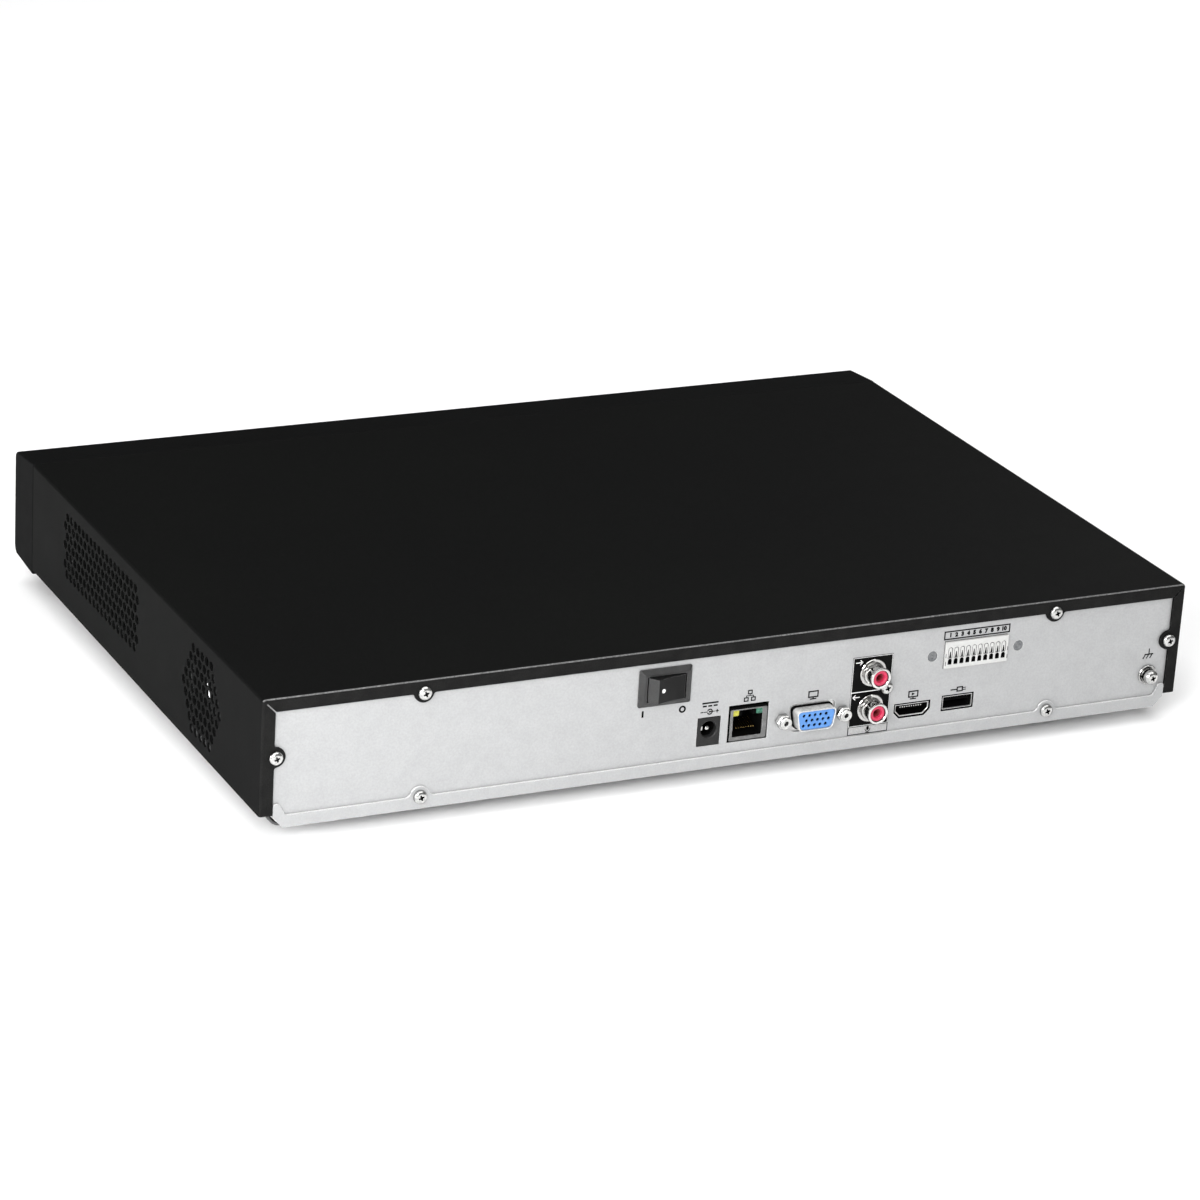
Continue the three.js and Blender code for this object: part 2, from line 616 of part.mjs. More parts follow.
// Side view of the bezel, pulled in by an inset.
function bezelOutline(inset, rear) {
  const front = FRONT_Y + inset;
  const top = HEIGHT - inset;
  const frontTop = top - BEZEL_DROP;
  const bottom = UNDERSIDE + BEZEL_LIFT + inset;
  const edge = BEZEL_EDGE - inset / 2;
  const shape = new THREE.Shape();
  shape.moveTo(rear, top);
  shape.lineTo(front + edge, frontTop);
  shape.quadraticCurveTo(front, frontTop, front, frontTop - edge);
  shape.lineTo(front, bottom + 1.5 * edge);
  shape.quadraticCurveTo(front, bottom + BEZEL_DROP, front + edge, bottom + BEZEL_DROP);
  shape.lineTo(rear, bottom);
  shape.closePath();
  return shape;
}

function buildBezel() {
  const rear = FRONT_Y + BEZEL_DEPTH;
  const outer = sideSlab(bezelOutline(0, rear), [-HALF, HALF]);
  const inside = sideSlab(bezelOutline(BEZEL_WALL, rear + 1), [-HALF + BEZEL_WALL, HALF - BEZEL_WALL]);
  const pocket = block(
    about(WINDOW_X, WINDOW_SIZE.width + 2 * SEAT_GAP),
    [FRONT_Y - 1, FRONT_Y + WINDOW_SIZE.depth + SEAT_GAP],
    about(BEZEL_MIDDLE_Z, WINDOW_SIZE.height + 2 * SEAT_GAP),
  );
  const lightSlot = block(
    about(WINDOW_X, WINDOW_SIZE.width - 2 * LIGHT_SLOT_EDGE.end),
    about(FRONT_Y, 3 * BEZEL_WALL),
    about(BEZEL_MIDDLE_Z, WINDOW_SIZE.height - 2 * LIGHT_SLOT_EDGE.side),
  );
  const portHole = block(
    about(FRONT_PORT_X, SERIAL_SHELL.width + 2 * RUN_GAP),
    about(FRONT_Y, 3 * BEZEL_WALL),
    about(BEZEL_MIDDLE_Z, SERIAL_SHELL.height + 2 * RUN_GAP),
  );
  const clips = [-1, 1].flatMap((side) => Object.values(clipHeights()).map((z) => bezelClip(side, z)));
  addPart("front_bezel", join(cut(outer, inside, pocket, lightSlot, portHole), ...clips), BLACK_PLASTIC);
}

// A flat clip that reaches from the bezel's front wall through the chassis front.
function bezelClip(side, z) {
  const x = about(side * (HALF - CLIP_INSET), CLIP.width);
  return block(x, [FRONT_Y + BEZEL_WALL / 2, CHASSIS_FRONT + SHEET + CLIP.reach], about(z, CLIP.thickness));
}

function buildStatusWindow() {
  const pane = block(
    about(WINDOW_X, WINDOW_SIZE.width),
    [FRONT_Y, FRONT_Y + WINDOW_SIZE.depth],
    about(BEZEL_MIDDLE_Z, WINDOW_SIZE.height),
  );
  addPart("status_window", pane, BLACK_GLOSS);
}

function buildFeet() {
  const ends = { front: FRONT_Y + FOOT_INSET_Y, rear: REAR_Y - FOOT_INSET_Y };
  const sides = { left: HALF - FOOT_INSET_X, right: -(HALF - FOOT_INSET_X) };
  for (const [end, y] of Object.entries(ends)) {
    for (const [side, x] of Object.entries(sides)) {
      const foot = new THREE.CylinderGeometry(FOOT_RADIUS, FOOT_RADIUS - FOOT_TAPER, FOOT_HEIGHT, 20);
      foot.rotateX(Math.PI / 2);
      foot.translate(x, y, FOOT_HEIGHT / 2);
      addPart(`foot_${end}_${side}`, solidOf(foot), RUBBER);
    }
  }
}

// ---------------------------------------------------------------- rear panel and fasteners

function growth(size, gap) {
  return { width: size.width + 2 * gap, height: size.height + 2 * gap };
}

function panelCutouts() {
  const through = [PANEL_IN - 1, PANEL_OUT + 1];
  const rocker = growth(ROCKER_BODY, SEAT_GAP);
  const lan = growth(LAN_SHELL, RUN_GAP);
  const lanZ = [CONNECTOR_FOOT - RUN_GAP, CONNECTOR_FOOT + LAN_SHELL.height + RUN_GAP + LAN_HEADROOM];
  const serial = growth(SERIAL_SHELL, RUN_GAP);
  return [
    block(about(ROCKER_AT.x, rocker.width), through, about(ROCKER_AT.z, rocker.height)),
    block(about(DC_AT_X, DC_BODY.width + 2 * SEAT_GAP), through, [
      CONNECTOR_FOOT - SEAT_GAP,
      CONNECTOR_FOOT + DC_BODY.height + SEAT_GAP,
    ]),
    block(about(LAN_AT_X, lan.width), through, lanZ),
    slab(vgaOutline(VGA_WINDOW_MARGIN), through),
    ...VGA_SCREWS.map((x) => rod(x, VGA_AT.z, through, SCREW_SHANK_RADIUS + RUN_GAP, 12)),
    ...AUDIO_HEIGHTS.map((z) => rod(AUDIO_AT_X, z, through, AUDIO_BARREL.radius + RUN_GAP, 20)),
    slab(videoOutline(RUN_GAP), through),
    block(about(SERIAL_AT.x, serial.width), through, about(SERIAL_AT.z, serial.height)),
    block(
      about(TERMINAL_AT.x, TERMINAL_WIDTH + 2 * SEAT_GAP),
      through,
      about(TERMINAL_AT.z, TERMINAL_HEIGHT + 2 * SEAT_GAP),
    ),
    ...STUDS.map((x) => rod(x, TERMINAL_AT.z, through, STUD_RADIUS + SEAT_GAP / 2, 16)),
  ];
}

function buildRearPanel() {
  const shoulder = COVER_EDGE + PANEL_CORNER_PLAY.up;
  const flat = WALL_X - CORNER_RADIUS + PANEL_CORNER_PLAY.across;
  const outline = straightOutline([
    [PANEL_HALF, PANEL_TOP],
    [-PANEL_HALF, PANEL_TOP],
    [-PANEL_HALF, shoulder],
    [-WALL_X, shoulder],
    [-flat, PANEL_BOTTOM],
    [flat, PANEL_BOTTOM],
    [WALL_X, shoulder],
    [PANEL_HALF, shoulder],
  ]);
  const holes = [
    ...Object.values(coverScrewPlaces()),
    [LEFT_SCREW_X, LIP_SCREW_Z],
    [RIGHT_SCREW_X, LIP_SCREW_Z],
    [AUDIO_AT_X + AUDIO_SCREW.dx, AUDIO_SCREW.z],
    [GROUND_X, GROUND_Z],
  ].map(([x, z]) => screwHole(x, z));
  addPart("rear_panel", cut(slab(outline, [PANEL_IN, PANEL_OUT]), ...panelCutouts(), ...holes), BARE_STEEL);
}

// Two crossed slots in a screw head.
function crossRecess(x, z, faceY) {
  const depth = about(faceY, 2 * CROSS.depth);
  return join(
    block(about(x, CROSS.length), depth, about(z, CROSS.width)),
    block(about(x, CROSS.width), depth, about(z, CROSS.length)),
  );
}

// A pan-head screw whose head seats on the plane y = seat.
function panScrew(x, z, seat) {
  const base = seat + SEAT_GAP / 2;
  const face = base + SCREW_HEAD_HEIGHT;
  const body = turned(
    x,
    z,
    [
      [0, base - SCREW_LENGTH],
      [SCREW_SHANK_RADIUS, base - SCREW_LENGTH],
      [SCREW_SHANK_RADIUS, base],
      [SCREW_HEAD_RADIUS, base],
      [SCREW_HEAD_RADIUS, base + SCREW_CROWN.start * SCREW_HEAD_HEIGHT],
      [SCREW_CROWN.width * SCREW_HEAD_RADIUS, face],
      [0, face],
    ],
    14,
  );
  return cut(body, crossRecess(x, z, face));
}

function buildScrews() {
  for (const [name, [x, z]] of Object.entries(coverScrewPlaces())) {
    addPart(name, panScrew(x, z, REAR_Y), BRIGHT_METAL);
  }
  addPart("panel_screw_left", panScrew(LEFT_SCREW_X, LIP_SCREW_Z, REAR_Y), BRIGHT_METAL);
  addPart("panel_screw_right", panScrew(RIGHT_SCREW_X, LIP_SCREW_Z, REAR_Y), BRIGHT_METAL);
  addPart("audio_screw", panScrew(AUDIO_AT_X + AUDIO_SCREW.dx, AUDIO_SCREW.z, PANEL_OUT), BRIGHT_METAL);
}

// The ground screw with its captive flat and spring washers.
function buildGroundScrew() {
  const base = PANEL_OUT + SEAT_GAP / 2;
  const springY = base + GROUND_WASHER.thickness;
  const headY = springY + GROUND_SPRING.thickness;
  const face = headY + GROUND_HEAD.height;
  const body = turned(
    GROUND_X,
    GROUND_Z,
    [
      [0, base - SCREW_LENGTH],
      [SCREW_SHANK_RADIUS, base - SCREW_LENGTH],
      [SCREW_SHANK_RADIUS, base],
      [GROUND_WASHER.radius, base],
      [GROUND_WASHER.radius, springY],
      [GROUND_SPRING.radius, springY],
      [GROUND_SPRING.radius, headY],
      [GROUND_HEAD.radius, headY],
      [GROUND_HEAD.radius, headY + GROUND_CROWN.start * GROUND_HEAD.height],
      [GROUND_CROWN.width * GROUND_HEAD.radius, face],
      [0, face],
    ],
    18,
  );
  addPart("ground_screw", cut(body, crossRecess(GROUND_X, GROUND_Z, face)), BRIGHT_METAL);
}

// Standoffs pressed flush into the panel, which carry the alarm board.
function buildStuds() {
  const length = TERMINAL_DEPTH - TERMINAL_PROUD - SHEET - 2 * SEAT_GAP;
  STUDS.forEach((x, i) => {
    const head = rod(x, TERMINAL_AT.z, [PANEL_IN, PANEL_OUT], STUD_RADIUS, 16);
    const shaft = rod(x, TERMINAL_AT.z, [PANEL_IN - length, PANEL_IN + JOIN], STUD_POST_RADIUS, 12);
    addPart(`clinch_stud_${i === 0 ? "left" : "right"}`, join(head, shaft), GREY_METAL);
  });
}

// ---------------------------------------------------------------- rocker switch

const ROCKER_FACE = PANEL_OUT + ROCKER_RIM.proud;
const ROCKER_PIVOT_Y = ROCKER_FACE - ROCKER_PIVOT_DEPTH;
const PIVOT_LENGTH = ROCKER_BODY.height - 2 * TRUNNION.wall;

function buildRockerFrame() {
  const front = {
    width: ROCKER_RIM.width - 2 * ROCKER_RIM.bevel,
    height: ROCKER_RIM.height - 2 * ROCKER_RIM.bevel,
  };
  const rim = taperedBlock(ROCKER_AT, ROCKER_RIM, front, PANEL_OUT + SEAT_GAP / 2, ROCKER_FACE);
  const bodyRear = PANEL_IN - ROCKER_BODY.depth;
  const body = block(
    about(ROCKER_AT.x, ROCKER_BODY.width),
    [bodyRear, PANEL_OUT + SEAT_GAP],
    about(ROCKER_AT.z, ROCKER_BODY.height),
  );
  const window = block(
    about(ROCKER_AT.x, ROCKER_WINDOW.width),
    [bodyRear + ROCKER_FLOOR, ROCKER_FACE + 1],
    about(ROCKER_AT.z, ROCKER_WINDOW.height),
  );
  const chamber = block(
    about(ROCKER_AT.x, 2 * (ROCKER_RADIUS + RUN_GAP)),
    [bodyRear + ROCKER_FLOOR, ROCKER_FACE - ROCKER_PLATE],
    about(ROCKER_AT.z, ROCKER_WINDOW.height),
  );
  const sockets = pivotRod(TRUNNION.radius + SEAT_GAP, PIVOT_LENGTH);
  const blades = [-ROCKER_BLADE.share, ROCKER_BLADE.share].map((share) =>
    block(
      about(ROCKER_AT.x + share * ROCKER_BODY.width, ROCKER_BLADE.thickness),
      [bodyRear - ROCKER_BLADE.length, bodyRear + JOIN],
      about(ROCKER_AT.z, ROCKER_BLADE.height),
    ),
  );
  addPart("rocker_frame", join(cut(join(rim, body), window, chamber, sockets), ...blades), BLACK_PLASTIC);
}

// A vertical bar through the rocker's pivot.
function pivotRod(radius, length) {
  const bar = new THREE.CylinderGeometry(radius, radius, length, 12);
  bar.rotateX(Math.PI / 2);
  bar.translate(ROCKER_AT.x, ROCKER_PIVOT_Y, ROCKER_AT.z);
  return solidOf(bar);
}

// The rocker rests in its off position: the right end is pressed in and the left end stands out.
function buildRocker() {
  const ridge = new THREE.Vector2(Math.cos(ROCKER_RIDGE), Math.sin(ROCKER_RIDGE));
  ridge.multiplyScalar(ROCKER_RADIUS);
  const shape = new THREE.Shape();
  shape.moveTo(-ridge.x, ridge.y);
  shape.absarc(0, 0, ROCKER_RADIUS, Math.PI - ROCKER_RIDGE, Math.PI - ROCKER_SIDE, false);
  shape.lineTo(-ROCKER_FOOT.half, -ROCKER_FOOT.drop);
  shape.lineTo(ROCKER_FOOT.half, -ROCKER_FOOT.drop);
  shape.absarc(0, 0, ROCKER_RADIUS, ROCKER_SIDE, ROCKER_RIDGE, false);
  shape.lineTo(0, ridge.y - ROCKER_DISH);
  shape.closePath();
  const height = ROCKER_WINDOW.height - 2 * RUN_GAP;
  const body = new THREE.ExtrudeGeometry(shape, { depth: height, bevelEnabled: false, curveSegments: 5 });
  body.translate(0, 0, -height / 2);
  body.rotateZ(ROCKER_TILT);
  body.translate(ROCKER_AT.x, ROCKER_PIVOT_Y, ROCKER_AT.z);
  const trunnions = pivotRod(TRUNNION.radius, PIVOT_LENGTH - 2 * RUN_GAP);
  addPart("rocker_button", join(solidOf(body), trunnions), BLACK_PLASTIC);
}

// ---------------------------------------------------------------- power and network

function buildPowerInlet() {
  const boreZ = CONNECTOR_FOOT + DC_BORE_HEIGHT;
  const face = PANEL_OUT + SEAT_GAP;
  const back = face - DC_BODY.depth;
  const tall = [CONNECTOR_FOOT, CONNECTOR_FOOT + DC_BODY.height];
  const body = block(about(DC_AT_X, DC_BODY.width), [back, face], tall);
  const bore = rod(DC_AT_X, boreZ, [face - DC_BORE_DEPTH, face + 1], DC_BORE_RADIUS, 20);
  const pinHole = rod(DC_AT_X, boreZ, [back - 1, face], DC_PIN.radius + SEAT_GAP / 2, 10);
  addPart("dc_jack_body", cut(body, bore, pinHole), BLACK_PLASTIC);
  const pin = rod(DC_AT_X, boreZ, [back + DC_PIN.foot, face - DC_PIN.recess], DC_PIN.radius, 10);
  addPart("dc_jack_pin", pin, BRIGHT_METAL);
}

const LAN_FACE = PANEL_OUT - LAN_RECESS;
const LAN_TOP = CONNECTOR_FOOT + LAN_SHELL.height;

// A box with the size of the network shell, pulled in by an inset, open to the front.
function lanBox(inset, back, face) {
  return block(
    about(LAN_AT_X, LAN_SHELL.width - 2 * inset),
    [back, face],
    [CONNECTOR_FOOT + inset, LAN_TOP - inset],
  );
}

function lanLedPlaces() {
  const dx = LAN_SHELL.width / 2 - LAN_SHELL.wall - LAN_LED.width / 2 - 2 * SEAT_GAP;
  return { yellow: LAN_AT_X + dx, green: LAN_AT_X - dx };
}

function lanLed(x, gap) {
  const top = LAN_TOP - LAN_SHELL.wall - 3 * SEAT_GAP;
  return block(
    about(x, LAN_LED.width + 2 * gap),
    [LAN_FACE - LAN_LED.depth - gap, LAN_FACE - LAN_LED.recess + gap],
    [top - LAN_LED.height - gap, top + gap],
  );
}

function buildLanSocket() {
  const back = LAN_FACE - LAN_SHELL.depth;
  const wall = LAN_SHELL.wall;
  const shell = cut(lanBox(0, back, LAN_FACE), lanBox(wall, back + wall, LAN_FACE + 1));
  addPart("lan_shell", shell, BRIGHT_METAL);
  const mouthBottom = CONNECTOR_FOOT + wall + LAN_SILL;
  const mouthTop = mouthBottom + LAN_MOUTH.height;
  const mouthDepth = [LAN_FACE - LAN_MOUTH.depth, LAN_FACE + 1];
  const mouth = block(about(LAN_AT_X, LAN_MOUTH.width), mouthDepth, [mouthBottom, mouthTop]);
  const notchTop = mouthTop + LAN_NOTCH.height;
  const notch = block(about(LAN_AT_X, LAN_NOTCH.width), mouthDepth, [mouthTop - JOIN, notchTop]);
  const contacts = block(
    about(LAN_AT_X, LAN_MOUTH.width - 2 * LAN_CONTACTS.margin),
    [mouthDepth[0] - JOIN, LAN_FACE - LAN_CONTACTS.recess],
    [mouthBottom - JOIN, mouthBottom + LAN_CONTACTS.height],
  );
  const leds = Object.entries(lanLedPlaces());
  const pockets = leds.map(([, x]) => lanLed(x, SEAT_GAP / 2));
  const core = lanBox(wall + SEAT_GAP, back + wall + SEAT_GAP, LAN_FACE - LAN_INSERT_RECESS);
  addPart("lan_insert", join(cut(core, mouth, notch, ...pockets), contacts), BLACK_PLASTIC);
  for (const [name, x] of leds) {
    addPart(`lan_led_${name}`, lanLed(x, 0), name === "yellow" ? LED_YELLOW : LED_GREEN);
  }
}

// ---------------------------------------------------------------- display socket

// The D-shaped outline of the display socket, grown by a margin.
function vgaOutline(margin) {
  const half = VGA_SHELL.width / 2 + margin;
  const top = VGA_AT.z + VGA_SHELL.height / 2 + margin;
  const bottom = VGA_AT.z - VGA_SHELL.height / 2 - margin;
  return roundedOutline(
    [
      [VGA_AT.x + half, top],
      [VGA_AT.x - half, top],
      [VGA_AT.x - half + VGA_SHELL.slope, bottom],
      [VGA_AT.x + half - VGA_SHELL.slope, bottom],
    ],
    VGA_SHELL.radius + margin / 2,
  );
}

function buildDisplaySocket() {
  const face = PANEL_OUT + VGA_PROUD;
  const flangeFront = PANEL_IN - SEAT_GAP;
  const flangeBack = flangeFront - VGA_FLANGE.thickness;
  const flange = block(
    about(VGA_AT.x, VGA_FLANGE.width),
    [flangeBack, flangeFront],
    about(VGA_AT.z, VGA_FLANGE.height),
  );
  const collar = slab(vgaOutline(0), [flangeBack, face]);
  const hollow = slab(vgaOutline(-VGA_SHELL.wall), [flangeBack - 1, face + 1]);
  const through = [flangeBack - 1, face];
  const holes = VGA_SCREWS.map((x) => rod(x, VGA_AT.z, through, SCREW_SHANK_RADIUS + RUN_GAP, 12));
  addPart("vga_shell", cut(join(flange, collar), hollow, ...holes), BRIGHT_METAL);
  addPart("vga_insert", displayInsert(flangeBack, face - VGA_INSERT.recess), BLUE_PLASTIC);
  VGA_SCREWS.forEach((x, i) => {
    addPart(`vga_jackscrew_${i === 0 ? "left" : "right"}`, jackscrew(x), BRIGHT_METAL);
  });
}

// The insert with three staggered rows of five contact holes.
function displayInsert(back, face) {
  const core = slab(vgaOutline(-VGA_SHELL.wall - SEAT_GAP / 2), [back - VGA_INSERT.behind, face]);
  const depth = [face - VGA_INSERT.holeDepth, face + 1];
  const holes = [-1, 0, 1].flatMap((row) =>
    [-2, -1, 0, 1, 2].map((column) => {
      const stagger = row === 0 ? -VGA_PIN_PITCH / 4 : VGA_PIN_PITCH / 4;
      const x = VGA_AT.x + column * VGA_PIN_PITCH + stagger;
      return rod(x, VGA_AT.z + row * VGA_PIN_ROW_PITCH, depth, VGA_PIN_HOLE_RADIUS, 6);
    }),
  );
  return cut(core, ...holes);
}

// A hexagonal spacer screwed through the panel, with a threaded hole in its end.
function jackscrew(x) {
  const face = PANEL_OUT + VGA_PROUD;
  const hex = rod(x, VGA_AT.z, [PANEL_OUT + SEAT_GAP / 2, face], VGA_HEX_RADIUS, 6);
  const stud = rod(x, VGA_AT.z, [PANEL_IN - SCREW_LENGTH, PANEL_OUT + 1], SCREW_SHANK_RADIUS, 10);
  const hole = rod(x, VGA_AT.z, [face - JACK_THREAD.depth, face + 1], JACK_THREAD.radius, 10);
  return cut(join(hex, stud), hole);
}

// ---------------------------------------------------------------- audio jacks

function buildAudioJacks() {
  const blockFace = PANEL_IN - SEAT_GAP;
  const housing = block(
    about(AUDIO_AT_X, AUDIO_BLOCK.width),
    [blockFace - AUDIO_BLOCK.depth, blockFace],
    [CONNECTOR_FOOT, CONNECTOR_FOOT + AUDIO_BLOCK.height],
  );
  const wellDepth = [blockFace - AUDIO_BLOCK.depth + AUDIO_BLOCK.floor, blockFace + 1];
  const wells = AUDIO_HEIGHTS.map((z) => rod(AUDIO_AT_X, z, wellDepth, AUDIO_BARREL.radius + SEAT_GAP, 20));
  const screwWell = rod(
    AUDIO_AT_X + AUDIO_SCREW.dx,
    AUDIO_SCREW.z,
    [blockFace - SCREW_LENGTH, blockFace + 1],
    SCREW_SHANK_RADIUS + SEAT_GAP,
    10,
  );
  addPart("audio_block", cut(housing, ...wells, screwWell), BLACK_PLASTIC);
  ["out", "in"].forEach((name, i) => {
    addPart(`audio_barrel_${name}`, audioBarrel(AUDIO_HEIGHTS[i]), BRIGHT_METAL);
    addPart(`audio_insert_${name}`, audioInsert(AUDIO_HEIGHTS[i]), PINK_PLASTIC);
  });
}

function audioBarrel(z) {
  const tip = REAR_Y + AUDIO_PROUD;
  const root = PANEL_IN - AUDIO_BLOCK.depth + AUDIO_BARREL.root;
  const flangeRoot = PANEL_OUT + SEAT_GAP / 2;
  const { radius, flange, flangeThickness, bore } = AUDIO_BARREL;
  const waist = radius - AUDIO_LIP.height;
  const body = turned(
    AUDIO_AT_X,
    z,
    [
      [0, root],
      [radius, root],
      [radius, flangeRoot],
      [flange, flangeRoot],
      [flange, flangeRoot + flangeThickness],
      [waist, flangeRoot + flangeThickness],
      [waist, tip - AUDIO_LIP.start],
      [radius, tip - AUDIO_LIP.end],
      [radius, tip],
      [0, tip],
    ],
    24,
  );
  return cut(body, rod(AUDIO_AT_X, z, [root - 1, tip + 1], bore, 20));
}

function audioInsert(z) {
  const face = REAR_Y + AUDIO_PROUD - AUDIO_INSERT.recess;
  const back = face - AUDIO_INSERT.depth;
  const body = rod(AUDIO_AT_X, z, [back, face], AUDIO_INSERT.radius, 20);
  return cut(body, rod(AUDIO_AT_X, z, [back + AUDIO_INSERT.floor, face + 1], AUDIO_INSERT.bore, 12));
}

// ---------------------------------------------------------------- video and serial ports

// The video port's outline, with its two lower corners cut off, grown by a margin.
function videoOutline(margin) {
  const half = VIDEO_SHELL.width / 2 + margin;
  const top = VIDEO_AT.z + VIDEO_SHELL.height / 2 + margin;
  const bottom = VIDEO_AT.z - VIDEO_SHELL.height / 2 - margin;
  const shoulder = bottom + VIDEO_SHELL.chamfer;
  return straightOutline([
    [VIDEO_AT.x + half, top],
    [VIDEO_AT.x - half, top],
    [VIDEO_AT.x - half, shoulder],
    [VIDEO_AT.x - half + VIDEO_SHELL.chamfer, bottom],
    [VIDEO_AT.x + half - VIDEO_SHELL.chamfer, bottom],
    [VIDEO_AT.x + half, shoulder],
  ]);
}

function buildVideoPort() {
  const face = PANEL_OUT - VIDEO_SHELL.recess;
  const floor = face - VIDEO_SHELL.depth + VIDEO_SHELL.floor;
  const shell = slab(videoOutline(0), [face - VIDEO_SHELL.depth, face]);
  const hollow = slab(videoOutline(-VIDEO_SHELL.wall), [floor, face + 1]);
  addPart("video_port_shell", cut(shell, hollow), BRIGHT_METAL);
  const tongue = block(
    about(VIDEO_AT.x, VIDEO_TONGUE.width),
    [floor + SEAT_GAP, face - VIDEO_TONGUE.recess],
    about(VIDEO_AT.z + VIDEO_TONGUE.offset, VIDEO_TONGUE.thickness),
  );
  addPart("video_port_tongue", tongue, BLACK_PLASTIC);
}

// A serial port shell, open at the face; outward is +1 for the rear and -1 for the front.
function serialShell(x, z, face, outward) {
  const back = face - outward * SERIAL_SHELL.depth;
  const wall = SERIAL_SHELL.wall;
  const span = [face, back].sort((a, b) => a - b);
  const hollowSpan = [face + outward, back + outward * wall].sort((a, b) => a - b);
  const shell = block(about(x, SERIAL_SHELL.width), span, about(z, SERIAL_SHELL.height));
  const hollow = block(
    about(x, SERIAL_SHELL.width - 2 * wall),
    hollowSpan,
    about(z, SERIAL_SHELL.height - 2 * wall),
  );
  return cut(shell, hollow);
}

function buildSerialPorts() {
  const face = PANEL_OUT - SERIAL_SHELL.recess;
  addPart("usb_rear_shell", serialShell(SERIAL_AT.x, SERIAL_AT.z, face, 1), BRIGHT_METAL);
  const tongue = block(
    about(SERIAL_AT.x, SERIAL_TONGUE.width),
    [face - SERIAL_SHELL.depth + SERIAL_SHELL.wall + SEAT_GAP, face - SERIAL_TONGUE.recess],
    about(SERIAL_AT.z + SERIAL_TONGUE.offset, SERIAL_TONGUE.thickness),
  );
  addPart("usb_rear_tongue", tongue, BLACK_PLASTIC);
  const frontShell = serialShell(FRONT_PORT_X, BEZEL_MIDDLE_Z, FRONT_Y + FRONT_PORT_SINK, -1);
  addPart("usb_front_shell", frontShell, BRIGHT_METAL);
}

// ---------------------------------------------------------------- terminal block

const TERMINAL_FACE = PANEL_OUT + TERMINAL_PROUD;
const LEVER_TOP = TERMINAL_AT.z + TERMINAL_HEIGHT / 2 - LEVER.drop;

function terminalX(way) {
  return TERMINAL_AT.x + ((TERMINAL_WAYS - 1) / 2 - way) * TERMINAL_PITCH;
}

function leverBlock(x, gap, reach) {
  return block(
    about(x, LEVER.width + 2 * gap),
    [TERMINAL_FACE - LEVER.depth - reach, TERMINAL_FACE + gap],
    [LEVER_TOP - LEVER.height - gap, LEVER_TOP + gap],
  );
}

function buildTerminal() {
  const ways = [...Array(TERMINAL_WAYS).keys()];
  const bottom = TERMINAL_AT.z - TERMINAL_HEIGHT / 2;
  const body = block(
    about(TERMINAL_AT.x, TERMINAL_WIDTH),
    [TERMINAL_FACE - TERMINAL_DEPTH, TERMINAL_FACE],
    [bottom, bottom + TERMINAL_HEIGHT],
  );
  const pockets = ways.map((way) => leverBlock(terminalX(way), SEAT_GAP, LEVER.travel + SEAT_GAP));
  const wireHoles = ways.map((way) =>
    block(about(terminalX(way), WIRE_HOLE.width), [TERMINAL_FACE - WIRE_HOLE.depth, TERMINAL_FACE + 1], [
      bottom + WIRE_HOLE.rise,
      bottom + WIRE_HOLE.rise + WIRE_HOLE.height,
    ]),
  );
  addPart("terminal_block", cut(body, ...pockets, ...wireHoles), WHITE_PLASTIC);
  for (const way of ways) {
    const slot = block(about(terminalX(way), LEVER_SLOT.width), about(TERMINAL_FACE, 2 * LEVER_SLOT.depth), [
      LEVER_TOP - LEVER.height + LEVER_SLOT.rise,
      LEVER_TOP - LEVER_SLOT.fall,
    ]);
    addPart(`terminal_lever_${way + 1}`, cut(leverBlock(terminalX(way), 0, 0), slot), WHITE_PLASTIC);
  }
}

// ---------------------------------------------------------------- inside

function buildBoards() {
  const mainBoard = block([BOARD_RIGHT, BOARD_LEFT], [BOARD_FRONT, BOARD_REAR], [BOARD_BOTTOM, BOARD_TOP]);
  addPart("main_board", mainBoard, BOARD_GREEN);
  const alarmFace = TERMINAL_FACE - TERMINAL_DEPTH - SEAT_GAP;
  const alarmBoard = block(
    about(TERMINAL_AT.x, ALARM_BOARD.width),
    [alarmFace - BOARD_THICKNESS, alarmFace],
    about(TERMINAL_AT.z, ALARM_BOARD.height),
  );
  addPart("alarm_board", alarmBoard, BOARD_GREEN);
  const frontBoardY = FRONT_Y + FRONT_PORT_SINK + SERIAL_SHELL.depth + SEAT_GAP;
  const frontBoard = block(
    [WINDOW_X - WINDOW_SIZE.width / 2, FRONT_PORT_X + SERIAL_SHELL.width],
    [frontBoardY, frontBoardY + BOARD_THICKNESS],
    about(BEZEL_MIDDLE_Z, FRONT_BOARD_HEIGHT),
  );
  addPart("front_board", frontBoard, BOARD_GREEN);
}

